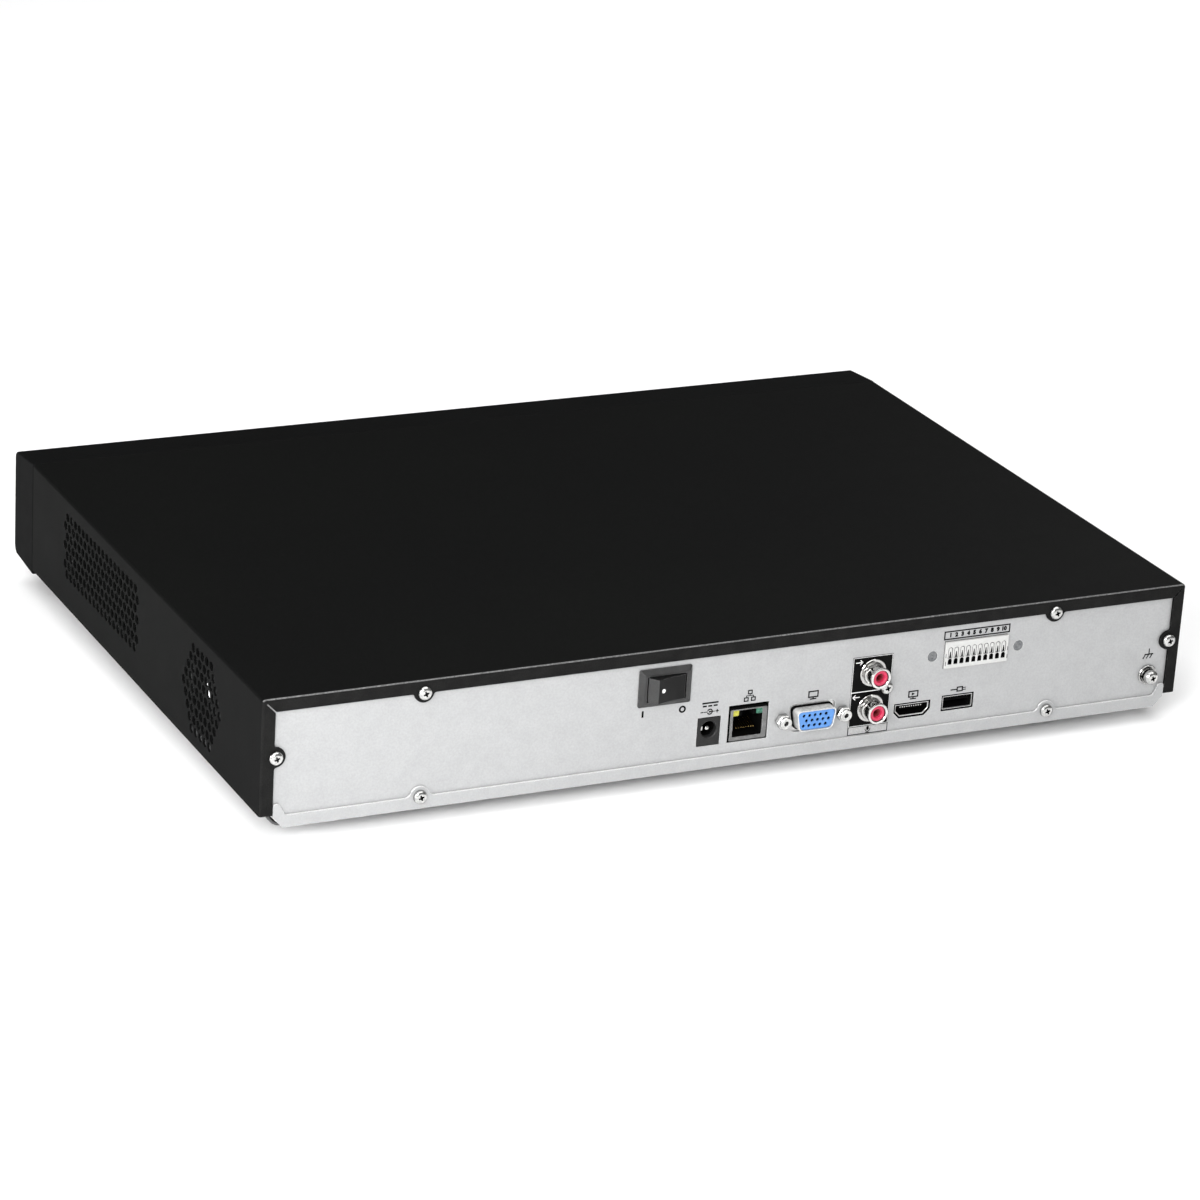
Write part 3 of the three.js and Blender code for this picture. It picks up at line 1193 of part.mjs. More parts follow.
function buildHeatSink() {
  const middle = {
    x: (BOARD_LEFT + BOARD_RIGHT) / 2,
    y: (BOARD_FRONT + BOARD_REAR) / 2 - HEAT_SINK_SETBACK,
  };
  const x = about(middle.x, HEAT_SINK.width);
  const y = about(middle.y, HEAT_SINK.depth);
  const bottom = BOARD_TOP + PROCESSOR_HEIGHT;
  const base = block(x, y, [bottom, bottom + HEAT_SINK.base]);
  const pitch = (HEAT_SINK.width - HEAT_SINK.finThickness) / (HEAT_SINK.fins - 1);
  const fins = [...Array(HEAT_SINK.fins).keys()].map((i) =>
    block(
      [x[0] + i * pitch, x[0] + i * pitch + HEAT_SINK.finThickness],
      y,
      [bottom + HEAT_SINK.base - JOIN, bottom + HEAT_SINK.height],
    ),
  );
  const legs = [-1, 1].flatMap((side) =>
    [-1, 1].map((end) =>
      block(
        about(middle.x + (side * (HEAT_SINK.width - HEAT_SINK_LEG)) / 2, HEAT_SINK_LEG),
        about(middle.y + (end * (HEAT_SINK.depth - HEAT_SINK_LEG)) / 2, HEAT_SINK_LEG),
        [BOARD_TOP + SEAT_GAP, bottom + JOIN],
      ),
    ),
  );
  addPart("heat_sink", join(base, ...fins, ...legs), GREY_METAL);
}

function buildDrives() {
  driveCentres().forEach((x, i) => {
    const depth = [DRIVE_FRONT, DRIVE_FRONT + DRIVE.depth];
    const top = DRIVE_BOTTOM + DRIVE.height;
    const seam = top - DRIVE_LID.height;
    const casting = block(about(x, DRIVE.width), depth, [DRIVE_BOTTOM, seam]);
    const lidDepth = [depth[0] + DRIVE_LID.front, depth[1] - DRIVE_LID.rear];
    const lid = block(about(x, DRIVE.width - 2 * DRIVE_LID.side), lidDepth, [seam - JOIN, top]);
    addPart(`hard_drive_${i + 1}`, join(casting, lid), GREY_METAL);
  });
}

// The fan blows across the case, so its shaft lies along X.
function buildFan() {
  const outer = FAN_OUT;
  const inner = outer - FAN_DEPTH;
  const housing = block([inner, outer], about(FAN_Y, FAN_SIZE), about(FAN_Z, FAN_SIZE));
  const duct = axleRod([inner - 1, outer + 1], FAN_Y, FAN_Z, FAN_DUCT_RADIUS, 28);
  const motor = axleRod([inner, inner + FAN_MOTOR_DEPTH], FAN_Y, FAN_Z, FAN_HUB_RADIUS, 20);
  const through = [inner - 1, inner + FAN_MOTOR_DEPTH + 1];
  const bush = axleRod(through, FAN_Y, FAN_Z, FAN_SHAFT_RADIUS + RUN_GAP, 10);
  const struts = [0, 1, 2].map((i) => {
    const length = FAN_DUCT_RADIUS + FAN_WALL / 2;
    const strut = new THREE.BoxGeometry(FAN_MOTOR_DEPTH - 2 * JOIN, length, FAN_STRUT_WIDTH);
    strut.translate(inner + FAN_MOTOR_DEPTH / 2, length / 2, 0);
    strut.rotateX((i * 2 * Math.PI) / 3);
    strut.translate(0, FAN_Y, FAN_Z);
    return solidOf(strut);
  });
  addPart("fan_frame", cut(join(cut(housing, duct), motor, ...struts), bush), BLACK_PLASTIC);

  const hubX = [inner + FAN_MOTOR_DEPTH + RUN_GAP, outer - FAN_SINK];
  const hub = axleRod(hubX, FAN_Y, FAN_Z, FAN_HUB_RADIUS, 20);
  const shaft = axleRod([inner + RUN_GAP, hubX[0] + JOIN], FAN_Y, FAN_Z, FAN_SHAFT_RADIUS, 10);
  const reach = FAN_DUCT_RADIUS - FAN_HUB_RADIUS - 2 * RUN_GAP;
  const blades = [...Array(FAN_BLADES).keys()].map((i) => {
    const blade = new THREE.BoxGeometry(FAN_BLADE.chord, reach + 1, FAN_BLADE.thickness);
    blade.rotateY(FAN_BLADE_PITCH);
    blade.translate(0, FAN_HUB_RADIUS - 1 + (reach + 1) / 2, 0);
    blade.rotateX((i * 2 * Math.PI) / FAN_BLADES);
    blade.translate((hubX[0] + hubX[1]) / 2, FAN_Y, FAN_Z);
    return solidOf(blade);
  });
  addPart("fan_rotor", join(hub, shaft, ...blades), BLACK_PLASTIC);
}

// ---------------------------------------------------------------- build

buildChassis();
buildCover();
buildBezel();
buildStatusWindow();
buildFeet();
buildRearPanel();
buildScrews();
buildGroundScrew();
buildStuds();
buildRockerFrame();
buildRocker();
buildPowerInlet();
buildLanSocket();
buildDisplaySocket();
buildAudioJacks();
buildVideoPort();
buildSerialPorts();
buildTerminal();
buildBoards();
buildHeatSink();
buildDrives();
buildFan();

export default recorder;
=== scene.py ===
"""Looks of a two-bay digital video recorder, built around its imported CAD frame."""
import json
import math

import bmesh
import bpy
from mathutils import Matrix, Vector


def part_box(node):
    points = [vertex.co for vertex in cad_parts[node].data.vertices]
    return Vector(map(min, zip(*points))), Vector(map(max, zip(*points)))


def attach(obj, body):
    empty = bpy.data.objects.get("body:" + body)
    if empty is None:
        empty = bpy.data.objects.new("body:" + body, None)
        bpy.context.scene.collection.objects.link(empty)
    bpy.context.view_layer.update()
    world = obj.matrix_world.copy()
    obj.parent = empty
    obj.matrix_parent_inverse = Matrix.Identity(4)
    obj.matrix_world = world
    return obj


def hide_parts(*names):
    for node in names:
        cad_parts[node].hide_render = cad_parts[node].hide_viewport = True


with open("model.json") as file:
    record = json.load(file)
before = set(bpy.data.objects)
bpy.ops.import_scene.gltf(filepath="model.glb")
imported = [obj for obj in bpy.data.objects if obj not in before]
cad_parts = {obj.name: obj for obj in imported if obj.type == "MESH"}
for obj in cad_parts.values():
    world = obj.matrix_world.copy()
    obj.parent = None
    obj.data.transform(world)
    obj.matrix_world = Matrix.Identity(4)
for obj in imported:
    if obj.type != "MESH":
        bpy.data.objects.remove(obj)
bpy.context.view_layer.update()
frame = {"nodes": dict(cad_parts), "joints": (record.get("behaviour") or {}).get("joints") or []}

MM = 0.001
SCENE = bpy.context.scene
NODES = frame["nodes"]

# ---------------------------------------------------------------- camera, light and floor


def camera():
    """The photo's camera, fitted to the case's corners."""
    azimuth, elevation, roll = 2.6758230, 0.3748221, 0.0627817
    flat = math.cos(elevation)
    back = Vector((math.sin(azimuth) * flat, -math.cos(azimuth) * flat, math.sin(elevation)))
    right = (-back).cross(Vector((0, 0, 1))).normalized()
    up = right.cross(-back)
    side = math.cos(roll) * right + math.sin(roll) * up
    top = -math.sin(roll) * right + math.cos(roll) * up
    data = bpy.data.cameras.new("camera")
    data.lens, data.sensor_width = 130.34, 36
    data.clip_start, data.clip_end = 0.05, 50
    obj = bpy.data.objects.new("camera", data)
    place = (0.7027, 1.4089, 0.6409)
    obj.matrix_world = Matrix((*zip(side, top, back, place), (0, 0, 0, 1)))
    SCENE.collection.objects.link(obj)
    SCENE.camera = obj


def softbox(name, place, target, size, power):
    data = bpy.data.lights.new(name, "AREA")
    data.shape = "RECTANGLE"
    data.size, data.size_y, data.energy = size[0], size[1], power
    obj = bpy.data.objects.new(name, data)
    obj.location = place
    obj.rotation_euler = (Vector(target) - Vector(place)).to_track_quat("-Z", "Y").to_euler()
    SCENE.collection.objects.link(obj)


def studio():
    """A world that is brighter on the rear's side, four soft boxes and a pale floor."""
    world = bpy.data.worlds.new("studio")
    world.use_nodes = True
    nodes, links = world.node_tree.nodes, world.node_tree.links
    background = nodes["Background"]
    place = nodes.new("ShaderNodeTexCoord")
    bright = nodes.new("ShaderNodeVectorMath")
    bright.operation = "DOT_PRODUCT"
    bright.inputs[1].default_value = (0.3, 0.9, 0.2)
    level = nodes.new("ShaderNodeMapRange")
    for socket, value in (("From Min", -1), ("From Max", 1), ("To Min", 0.06), ("To Max", 0.34)):
        level.inputs[socket].default_value = value
    links.new(place.outputs["Generated"], bright.inputs[0])
    links.new(bright.outputs["Value"], level.inputs["Value"])
    links.new(level.outputs["Result"], background.inputs[1])
    background.inputs[0].default_value = (1, 1, 1, 1)
    SCENE.world = world
    SCENE.view_settings.view_transform = "Standard"
    softbox("overhead_light", (0.0, 0.3, 2.6), (0, 0.1, 0), (3.8, 3.8), 90)
    softbox("side_light", (2.0, 0.2, 0.55), (0.15, 0, 0.05), (1.4, 0.8), 26)
    softbox("fill_light", (-1.8, -1.0, 0.7), (-0.1, 0, 0.05), (1.4, 0.9), 9)
    softbox("rear_light", (0.55, 0.75, 0.42), (0.05, 0.13, 0.03), (0.4, 0.3), 9)
    mesh = bpy.data.meshes.new("floor")
    reach = 12
    corners = [(reach * x, reach * y, 0) for x, y in ((-1, -1), (1, -1), (1, 1), (-1, 1))]
    mesh.from_pydata(corners, [], [(0, 1, 2, 3)])
    floor = bpy.data.objects.new("floor", mesh)
    mesh.materials.append(surface(
        "floor_paper", 0.935, 0.93, 0.9, specular=0.1, blotch=2, grain=900, grain_depth=0.004, bump=0.01,
    ))
    SCENE.collection.objects.link(floor)


# ---------------------------------------------------------------- materials

BUMP_HEIGHT = 0.00005  # metres


class Graph:
    """A material's node tree, with short calls for the nodes used here."""

    def __init__(self, name):
        self.material = bpy.data.materials.new(name)
        self.material.use_nodes = True
        self.tree = self.material.node_tree
        self.shader = self.tree.nodes["Principled BSDF"]
        self.place = self.add("ShaderNodeTexCoord").outputs["Object"]

    def add(self, kind, **settings):
        node = self.tree.nodes.new(kind)
        for key, value in settings.items():
            setattr(node, key, value)
        return node

    def link(self, source, socket):
        self.tree.links.new(source, socket)

    def noise(self, scale, detail=3.0):
        node = self.add("ShaderNodeTexNoise")
        node.inputs["Scale"].default_value = scale
        node.inputs["Detail"].default_value = detail
        self.link(self.place, node.inputs["Vector"])
        return node.outputs["Fac"]

    def spread(self, source, low, high, to_low=0.0, to_high=1.0):
        node = self.add("ShaderNodeMapRange")
        for socket, value in zip(("From Min", "From Max", "To Min", "To Max"), (low, high, to_low, to_high)):
            node.inputs[socket].default_value = value
        self.link(source, node.inputs["Value"])
        return node.outputs["Result"]

    def times(self, a, b):
        node = self.add("ShaderNodeMath", operation="MULTIPLY")
        self.link(a, node.inputs[0])
        self.link(b, node.inputs[1])
        return node.outputs[0]

    def mix(self, amount, first, second):
        """A blend of two colours, each a grey level, an (r, g, b) or another node's output."""
        node = self.add("ShaderNodeMix", data_type="RGBA")
        self.link(amount, node.inputs[0])
        for index, value in ((6, first), (7, second)):
            if isinstance(value, float):
                value = (value, value, value)
            if isinstance(value, tuple):
                node.inputs[index].default_value = (*value, 1)
            else:
                self.link(value, node.inputs[index])
        return node.outputs[2]

    def edges(self, radius):
        """1 on edges and corners, 0 on flat faces."""
        bevel = self.add("ShaderNodeBevel", samples=4)
        bevel.inputs["Radius"].default_value = radius
        geometry = self.add("ShaderNodeNewGeometry")
        dot = self.add("ShaderNodeVectorMath", operation="DOT_PRODUCT")
        self.link(bevel.outputs["Normal"], dot.inputs[0])
        self.link(geometry.outputs["Normal"], dot.inputs[1])
        return self.spread(dot.outputs["Value"], 0.995, 0.9)

    def openness(self, reach):
        """0 in corners and recesses, 1 on open faces: the mask of the painted shade."""
        node = self.add("ShaderNodeAmbientOcclusion", samples=4)
        node.inputs["Distance"].default_value = reach
        return self.spread(node.outputs["AO"], 0.3, 0.95)


def surface(
    name, colour, second, roughness, metallic=0.0, specular=0.5, blotch=300.0, grain=5000.0, grain_depth=0.12,
    rough_spread=0.08, bump=0.15, edge_wear_and_highlight=None, coat=0.0, emission=0.0, recess_shade=None,
):
    """
    A procedural finish: soft blotches, fine grain, uneven gloss, bump, lighter edges that are partly wear and
    partly painted highlight, and painted shade in recesses.
    The edge colour is (colour, radius, share of the edge) and the painted shade is (colour, reach), with both
    lengths in metres.
    """
    graph = Graph(name)
    shader = graph.shader
    soft = graph.noise(blotch, 4.0)
    fine = graph.noise(grain, 2.0)
    colours = graph.mix(graph.spread(soft, 0.35, 0.65), colour, second)
    shade = graph.spread(fine, 0.3, 0.7, 1 - grain_depth, 1 + grain_depth)
    combine = graph.add("ShaderNodeCombineColor")
    for socket in combine.inputs:
        graph.link(shade, socket)
    node = graph.add("ShaderNodeMix", data_type="RGBA", blend_type="MULTIPLY")
    node.inputs[0].default_value = 1.0
    graph.link(colours, node.inputs[6])
    graph.link(combine.outputs[0], node.inputs[7])
    result = node.outputs[2]
    # lighter edges: partly real wear, partly a painted highlight
    if edge_wear_and_highlight:
        edge_wear_and_highlight_colour, radius, share = edge_wear_and_highlight
        worn_and_lit = graph.times(graph.edges(radius), graph.spread(graph.noise(900), 0.62 - 0.35 * share, 0.7))
        result = graph.mix(worn_and_lit, result, edge_wear_and_highlight_colour)
    # painted shade: the colour darkens towards a dark grey in corners and recesses
    if recess_shade:
        result = graph.mix(graph.openness(recess_shade[1]), recess_shade[0], result)
    graph.link(result, shader.inputs["Base Color"])
    uneven = graph.noise(blotch * 6, 5.0)
    rough = graph.spread(uneven, 0.3, 0.7, roughness - rough_spread, roughness + rough_spread)
    graph.link(rough, shader.inputs["Roughness"])
    shader.inputs["Metallic"].default_value = metallic
    shader.inputs["Specular IOR Level"].default_value = specular
    shader.inputs["Coat Weight"].default_value = coat
    if emission:
        graph.link(result, shader.inputs["Emission Color"])
        shader.inputs["Emission Strength"].default_value = emission
    relief = graph.add("ShaderNodeBump")
    relief.inputs["Strength"].default_value = bump
    relief.inputs["Distance"].default_value = BUMP_HEIGHT
    graph.link(fine, relief.inputs["Height"])
    graph.link(relief.outputs["Normal"], shader.inputs["Normal"])
    return graph.material


# look: (material, slot, colour, second colour, roughness, other settings of its surface)
FINISHES = {
    "paint": ("powder_coat", "cover_paint", (0.0042, 0.0043, 0.0043), (0.0046, 0.0048, 0.0046), 0.6,
        dict(specular=0.02, blotch=9, grain=2600, grain_depth=0.3, rough_spread=0.015, bump=0.35,
        edge_wear_and_highlight=(0.03, 0.00012, 0.35))),
    # painted light: a lighter copy of the cover's powder coat for its rear-facing flange
    "flange_paint": ("powder_coat_flange", None, 0.007, (0.010, 0.010, 0.0097), 0.55, dict(specular=0.06,
        blotch=200, grain=2600, grain_depth=0.35, bump=0.5, edge_wear_and_highlight=(0.14, 0.0003, 0.4))),
    # galvanised steel; its near-white edges are a painted highlight
    "steel": ("galvanised_sheet", "sheet_steel", (0.38, 0.383, 0.386), (0.362, 0.365, 0.368), 0.5,
        dict(metallic=0.3, blotch=160, grain=1400, grain_depth=0.05, rough_spread=0.06, bump=0.2,
        edge_wear_and_highlight=(0.95, 0.00025, 0.9))),
    "bezel": ("bezel_plastic", "bezel_plastic", (0.0042, 0.0043, 0.0043), (0.0046, 0.0048, 0.0048), 0.6,
        dict(specular=0.015, blotch=30, grain=4000, grain_depth=0.2, rough_spread=0.015, bump=0.3,
        edge_wear_and_highlight=(0.06, 0.0004, 0.3))),
    "gloss": ("window_gloss", "window_gloss", (0.006, 0.006, 0.008), (0.008, 0.008, 0.01), 0.12,
        dict(blotch=60, grain=3000, rough_spread=0.04, bump=0.03, coat=0.6)),
    "rubber": ("foot_rubber", "foot_rubber", 0.012, 0.018, 0.85, dict(specular=0.3, blotch=200, grain=2500,
        grain_depth=0.3, bump=0.5, edge_wear_and_highlight=(0.05, 0.0006, 0.5))),
    # the zinc, nickel and terminal white finishes carry painted shade in their recesses
    "zinc": ("zinc_plate", "zinc_screw", (0.62, 0.62, 0.6), 0.4, 0.2, dict(metallic=1.0, blotch=900,
        grain_depth=0.1, edge_wear_and_highlight=(0.97, 0.00015, 0.8), recess_shade=(0.015, 0.0016))),
    "nickel": ("nickel_plate", "bright_metal", (0.66, 0.65, 0.63), (0.5, 0.495, 0.485), 0.12,
        dict(metallic=1.0, blotch=500, grain_depth=0.05, rough_spread=0.05, bump=0.08,
        edge_wear_and_highlight=(0.95, 0.0002, 0.8), recess_shade=(0.02, 0.0016))),
    "bright_shell": ("display_shell", "bright_metal", (0.7, 0.7, 0.69), (0.5, 0.5, 0.495), 0.4,
        dict(metallic=0.5, blotch=700, grain=3500, grain_depth=0.15, bump=0.25, edge_wear_and_highlight=(0.9, 0.0003, 0.9))),
    "lan_shell": ("network_shell", "bright_metal", (0.2, 0.2, 0.198), 0.15, 0.4, dict(metallic=0.9,
        blotch=500, grain=3500, grain_depth=0.15, bump=0.25, edge_wear_and_highlight=(0.8, 0.0002, 0.7))),
    "stamped": ("stamped_shell", "bright_metal", (0.58, 0.58, 0.57), 0.46, 0.36, dict(metallic=1.0,
        blotch=400, grain=3500, grain_depth=0.1, edge_wear_and_highlight=(0.92, 0.00018, 0.8))),
    # painted shade: a dark copy of the galvanised sheet for the inside of the case
    "shaded_inside_steel": ("galvanised_inside", None, (0.09, 0.091, 0.092), (0.07, 0.071, 0.072), 0.6,
        dict(metallic=0.3, blotch=120, grain=1400, grain_depth=0.08, bump=0.2, edge_wear_and_highlight=(0.3, 0.0002, 0.5))),
    "stud": ("stud_metal", "stud_metal", (0.22, 0.225, 0.23), (0.13, 0.135, 0.14), 0.5, dict(metallic=0.7,
        blotch=900, grain=4000, grain_depth=0.2, bump=0.4)),
    "switch": ("switch_plastic", "switch_plastic", 0.006, 0.008, 0.4, dict(specular=0.12, blotch=120,
        grain_depth=0.2, bump=0.25, edge_wear_and_highlight=(0.11, 0.00025, 0.6))),
    "switch_frame": ("switch_frame", "switch_plastic", 0.011, 0.018, 0.42, dict(blotch=250, grain_depth=0.3,
        bump=0.4, edge_wear_and_highlight=(0.14, 0.0003, 0.6))),
    # painted light: a lighter copy of the switch plastic for the rocker's end faces
    "switch_grip": ("switch_grip", "switch_plastic", 0.03, 0.042, 0.5, dict(specular=0.2, blotch=200,
        grain_depth=0.3, bump=0.5, edge_wear_and_highlight=(0.16, 0.0003, 0.7))),
    # painted highlight: near-white bare steel for the rear lip's up-facing top edge
    "lip_edge_highlight": ("sheared_edge", None, 0.7, 0.6, 0.4, dict(metallic=0.2, blotch=900, grain=3000, bump=0.2)),
    # painted highlight: a light speckled copy of the powder coat along the cover's rear bend
    "bend_paint": ("powder_coat_bend", None, 0.05, 0.12, 0.45, dict(specular=0.35, blotch=1500, grain=2200,
        grain_depth=0.5, bump=0.8, edge_wear_and_highlight=(0.4, 0.0006, 0.9))),
    "black": ("socket_plastic", "socket_black", 0.011, 0.016, 0.5, dict(specular=0.2, blotch=150,
        grain_depth=0.2, bump=0.25, edge_wear_and_highlight=(0.07, 0.0002, 0.5))),
    # the near-black of socket inserts and tongues, also used as painted shade in holes, gaps and liners
    "deep_black": ("socket_depth", "socket_black", 0.002, 0.003, 0.9, dict(specular=0.02, bump=0.2)),
    "yellow": ("lamp_yellow", "led_yellow", (0.27, 0.25, 0.008), (0.42, 0.4, 0.05), 0.2, dict(blotch=900,
        bump=0.1, emission=0.05)),
    "green": ("lamp_green", "led_green", (0.008, 0.07, 0.04), (0.04, 0.17, 0.11), 0.2, dict(blotch=900,
        bump=0.1, emission=0.03)),
    "blue": ("display_blue", "socket_blue", (0.066, 0.2, 0.5), (0.08, 0.23, 0.54), 0.45,
        dict(grain_depth=0.05, edge_wear_and_highlight=((0.25, 0.42, 0.7), 0.00015, 0.5))),
    "pink": ("jack_pink", "jack_pink", (0.5, 0.024, 0.075), (0.44, 0.017, 0.06), 0.35, dict(blotch=500,
        grain_depth=0.06, bump=0.12, edge_wear_and_highlight=((0.7, 0.16, 0.23), 0.0002, 0.5))),
    # painted shade: a darker copy of the jack pink for the depth of the socket
    "pink_depth": ("jack_depth", "jack_pink", (0.16, 0.006, 0.012), (0.12, 0.004, 0.008), 0.5,
        dict(blotch=500, bump=0.1)),
    "white": ("terminal_white", "terminal_white", (0.5, 0.5, 0.49), (0.46, 0.46, 0.45), 0.45,
        dict(grain=4000, grain_depth=0.05, bump=0.2, edge_wear_and_highlight=(0.66, 0.0002, 0.5), recess_shade=(0.08, 0.0008))),
    "board": ("solder_mask", "board_green", (0.01, 0.1, 0.035), (0.014, 0.13, 0.05), 0.35, dict(blotch=150,
        grain=1200, grain_depth=0.3, bump=0.4)),
    # painted shade: cast aluminium darkened far below its own colour, for parts inside the closed case
    "shade_dark_casting": ("cast_aluminium", "cast_aluminium", (0.05, 0.052, 0.054), (0.036, 0.038, 0.04), 0.6,
        dict(metallic=0.5, blotch=150, grain=1500, grain_depth=0.2, bump=0.5, edge_wear_and_highlight=(0.16, 0.0004, 0.5))),
    "gold": ("contact_gold", None, (0.85, 0.6, 0.22), (0.75, 0.5, 0.16), 0.2, dict(metallic=1.0, blotch=900,
        bump=0.05)),
    "ink": ("print_black", None, 0.003, 0.005, 0.7, dict(specular=0.04, grain=4000, grain_depth=0.2,
        bump=0.1)),
    "white_ink": ("print_white", None, 0.8, 0.72, 0.6, dict(specular=0.3, grain=4000, bump=0.1)),
    "print_grey": ("print_grey", None, 0.4, 0.36, 0.5, dict(metallic=0.3, specular=0.3, blotch=120,
        grain=1500, bump=0.1)),
    # painted glint: a white label that glows though it is no lamp
    "glowing_paper": ("sticker", None, 0.85, 0.78, 0.5, dict(grain=3000, bump=0.1, emission=0.9)),
}


# ---------------------------------------------------------------- mesh helpers (millimetres)


def span(node):
    """A CAD node's box in millimetres, as ((x0, x1), (y0, y1), (z0, z1))."""
    low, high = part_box(node)
    return tuple((a / MM, b / MM) for a, b in zip(low, high))


def middle(pair):
    return (pair[0] + pair[1]) / 2


def centre(part):
    """The (x, z) of the middle of a span."""
    return middle(part[0]), middle(part[2])


def about(value, half):
    return (value - half, value + half)


def grown(pair, by):
    return (pair[0] - by, pair[1] + by)


PANEL_BACK, PANEL = span("rear_panel")[1]  # the rear panel's inner and outer face
INSIDE_FLOOR = span("bottom_chassis")[2][0] + 0.2


def mesh_of(points, faces):
    mesh = bpy.data.meshes.new("part")
    mesh.from_pydata([tuple(v * MM for v in p) for p in points], [], faces)
    tool = bmesh.new()
    tool.from_mesh(mesh)
    bmesh.ops.recalc_face_normals(tool, faces=tool.faces)
    tool.to_mesh(mesh)
    tool.free()
    return mesh


def prism(outline, y0, y1):
    """An outline of (x, z) points, thickened along Y."""
    count = len(outline)
    points = [(x, y0, z) for x, z in outline] + [(x, y1, z) for x, z in outline]
    faces = [tuple(range(count)), tuple(range(2 * count - 1, count - 1, -1))]
    faces += [(i, (i + 1) % count, count + (i + 1) % count, count + i) for i in range(count)]
    return mesh_of(points, faces)


def turned_to_x(mesh):
    """Takes a mesh made with prism or lathe in (y, z) and stands its depth along X."""
    for v in mesh.vertices:
        v.co = Vector((v.co.y, v.co.x, v.co.z))
    mesh.flip_normals()
    return mesh


def box(x, y, z, edge=0.0, segments=2):
    mesh = prism([(x[0], z[0]), (x[1], z[0]), (x[1], z[1]), (x[0], z[1])], y[0], y[1])
    return bevelled(mesh, edge, segments) if edge else mesh


def bevelled(mesh, width, segments=2, angle=35):
    tool = bmesh.new()
    tool.from_mesh(mesh)
    bmesh.ops.remove_doubles(tool, verts=tool.verts, dist=1e-7)
    sharp = [e for e in tool.edges if len(e.link_faces) == 2 and e.calc_face_angle(0) > math.radians(angle)]
    bmesh.ops.bevel(
        tool, geom=sharp, offset=width * MM, segments=segments, profile=0.5, affect="EDGES",
        clamp_overlap=True,
    )
    tool.to_mesh(mesh)
    tool.free()
    return mesh


def ring_faces(rings, count, closed=True):
    faces = []
    for k in range(rings - 1):
        for i in range(count if closed else count - 1):
            j = (i + 1) % count
            faces.append((k * count + i, k * count + j, (k + 1) * count + j, (k + 1) * count + i))
    return faces


def turned_rings(x, z, profile, sides):
    angles = [2 * math.pi * i / sides for i in range(sides)]
    return [(x + radius * math.cos(a), y, z + radius * math.sin(a)) for radius, y in profile for a in angles]


def capped(points, count):
    """A tube through rings of count points each, closed at both ends."""
    faces = ring_faces(len(points) // count, count)
    faces += [tuple(range(count)), tuple(range(len(points) - 1, len(points) - 1 - count, -1))]
    return mesh_of(points, faces)


def lathe(x, z, profile, sides=40):
    """A turned piece about an axis along Y, from (radius, y) pairs; the two ends are closed."""
    return capped(turned_rings(x, z, profile, sides), sides)


def tube(x, z, profile, sides=40):
    """A turned ring about an axis along Y, from a closed run of (radius, y) pairs."""
    points = turned_rings(x, z, profile + profile[:1], sides)
    return welded(mesh_of(points, ring_faces(len(profile) + 1, sides)))


def stacked(loops):
    """The points of a run of (y, outline) pairs."""
    return [(x, y, z) for y, loop in loops for x, z in loop]


def frame_loop(outer, inner, y0, y1):
    """A ring between two outlines with the same number of points, thickened along Y."""
    points = stacked(((y0, outer), (y1, outer), (y1, inner), (y0, inner), (y0, outer)))
    return welded(mesh_of(points, ring_faces(5, len(outer))))


def welded(mesh):
    tool = bmesh.new()
    tool.from_mesh(mesh)
    bmesh.ops.remove_doubles(tool, verts=tool.verts, dist=1e-7)
    bmesh.ops.recalc_face_normals(tool, faces=tool.faces)
    tool.to_mesh(mesh)
    tool.free()
    return mesh


def merge(*meshes):
    tool = bmesh.new()
    for mesh in meshes:
        tool.from_mesh(mesh)
    whole = bpy.data.meshes.new("part")
    tool.to_mesh(whole)
    tool.free()
    return whole


def moved(mesh, x=0.0, y=0.0, z=0.0):
    mesh.transform(Matrix.Translation((x * MM, y * MM, z * MM)))
    return mesh


def turned(mesh, degrees, axis, at):
    """Turns a mesh about an axis through a point given in millimetres."""
    pivot = Vector(at) * MM
    spin = Matrix.Rotation(math.radians(degrees), 4, axis)
    mesh.transform(Matrix.Translation(pivot) @ spin @ Matrix.Translation(-pivot))
    return mesh


def carve(mesh, *cutters):
    """The mesh with the cutters' shapes taken out of it."""
    target = bpy.data.objects.new("carve_target", mesh)
    tool = bpy.data.objects.new("carve_tool", merge(*cutters))
    for obj in (target, tool):
        SCENE.collection.objects.link(obj)
    cut = target.modifiers.new("cut", "BOOLEAN")
    cut.operation, cut.solver, cut.object = "DIFFERENCE", "EXACT", tool
    cut.use_self = True
    graph = bpy.context.evaluated_depsgraph_get()
    result = bpy.data.meshes.new_from_object(target.evaluated_get(graph))
    for obj in (target, tool):
        bpy.data.objects.remove(obj)
    return result


def rounded(x, z, radius, steps=5):
    """A rectangle's outline with rounded corners."""
    corners = ((x[1] - radius, z[1] - radius, 0), (x[0] + radius, z[1] - radius, 90),
               (x[0] + radius, z[0] + radius, 180), (x[1] - radius, z[0] + radius, 270))
    return [
        (cx + radius * math.cos(math.radians(start + 90 * k / steps)),
         cz + radius * math.sin(math.radians(start + 90 * k / steps)))
        for cx, cz, start in corners
        for k in range(steps + 1)
    ]


def smooth(obj):
    obj.data.polygons.foreach_set("use_smooth", [True] * len(obj.data.polygons))
    obj.modifiers.new("even_normals", "WEIGHTED_NORMAL").keep_sharp = True


def piece(name, mesh, look, body="case", replaces=(), slot=None):
    obj = bpy.data.objects.new(name, mesh)
    SCENE.collection.objects.link(obj)
    if not mesh.materials:
        mesh.materials.append(LOOKS[look])
    smooth(obj)
    mesh.set_sharp_from_angle(angle=math.radians(35))
    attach(obj, body)
    slot = slot or FINISHES[look][1]
    if replaces:
        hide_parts(*replaces)


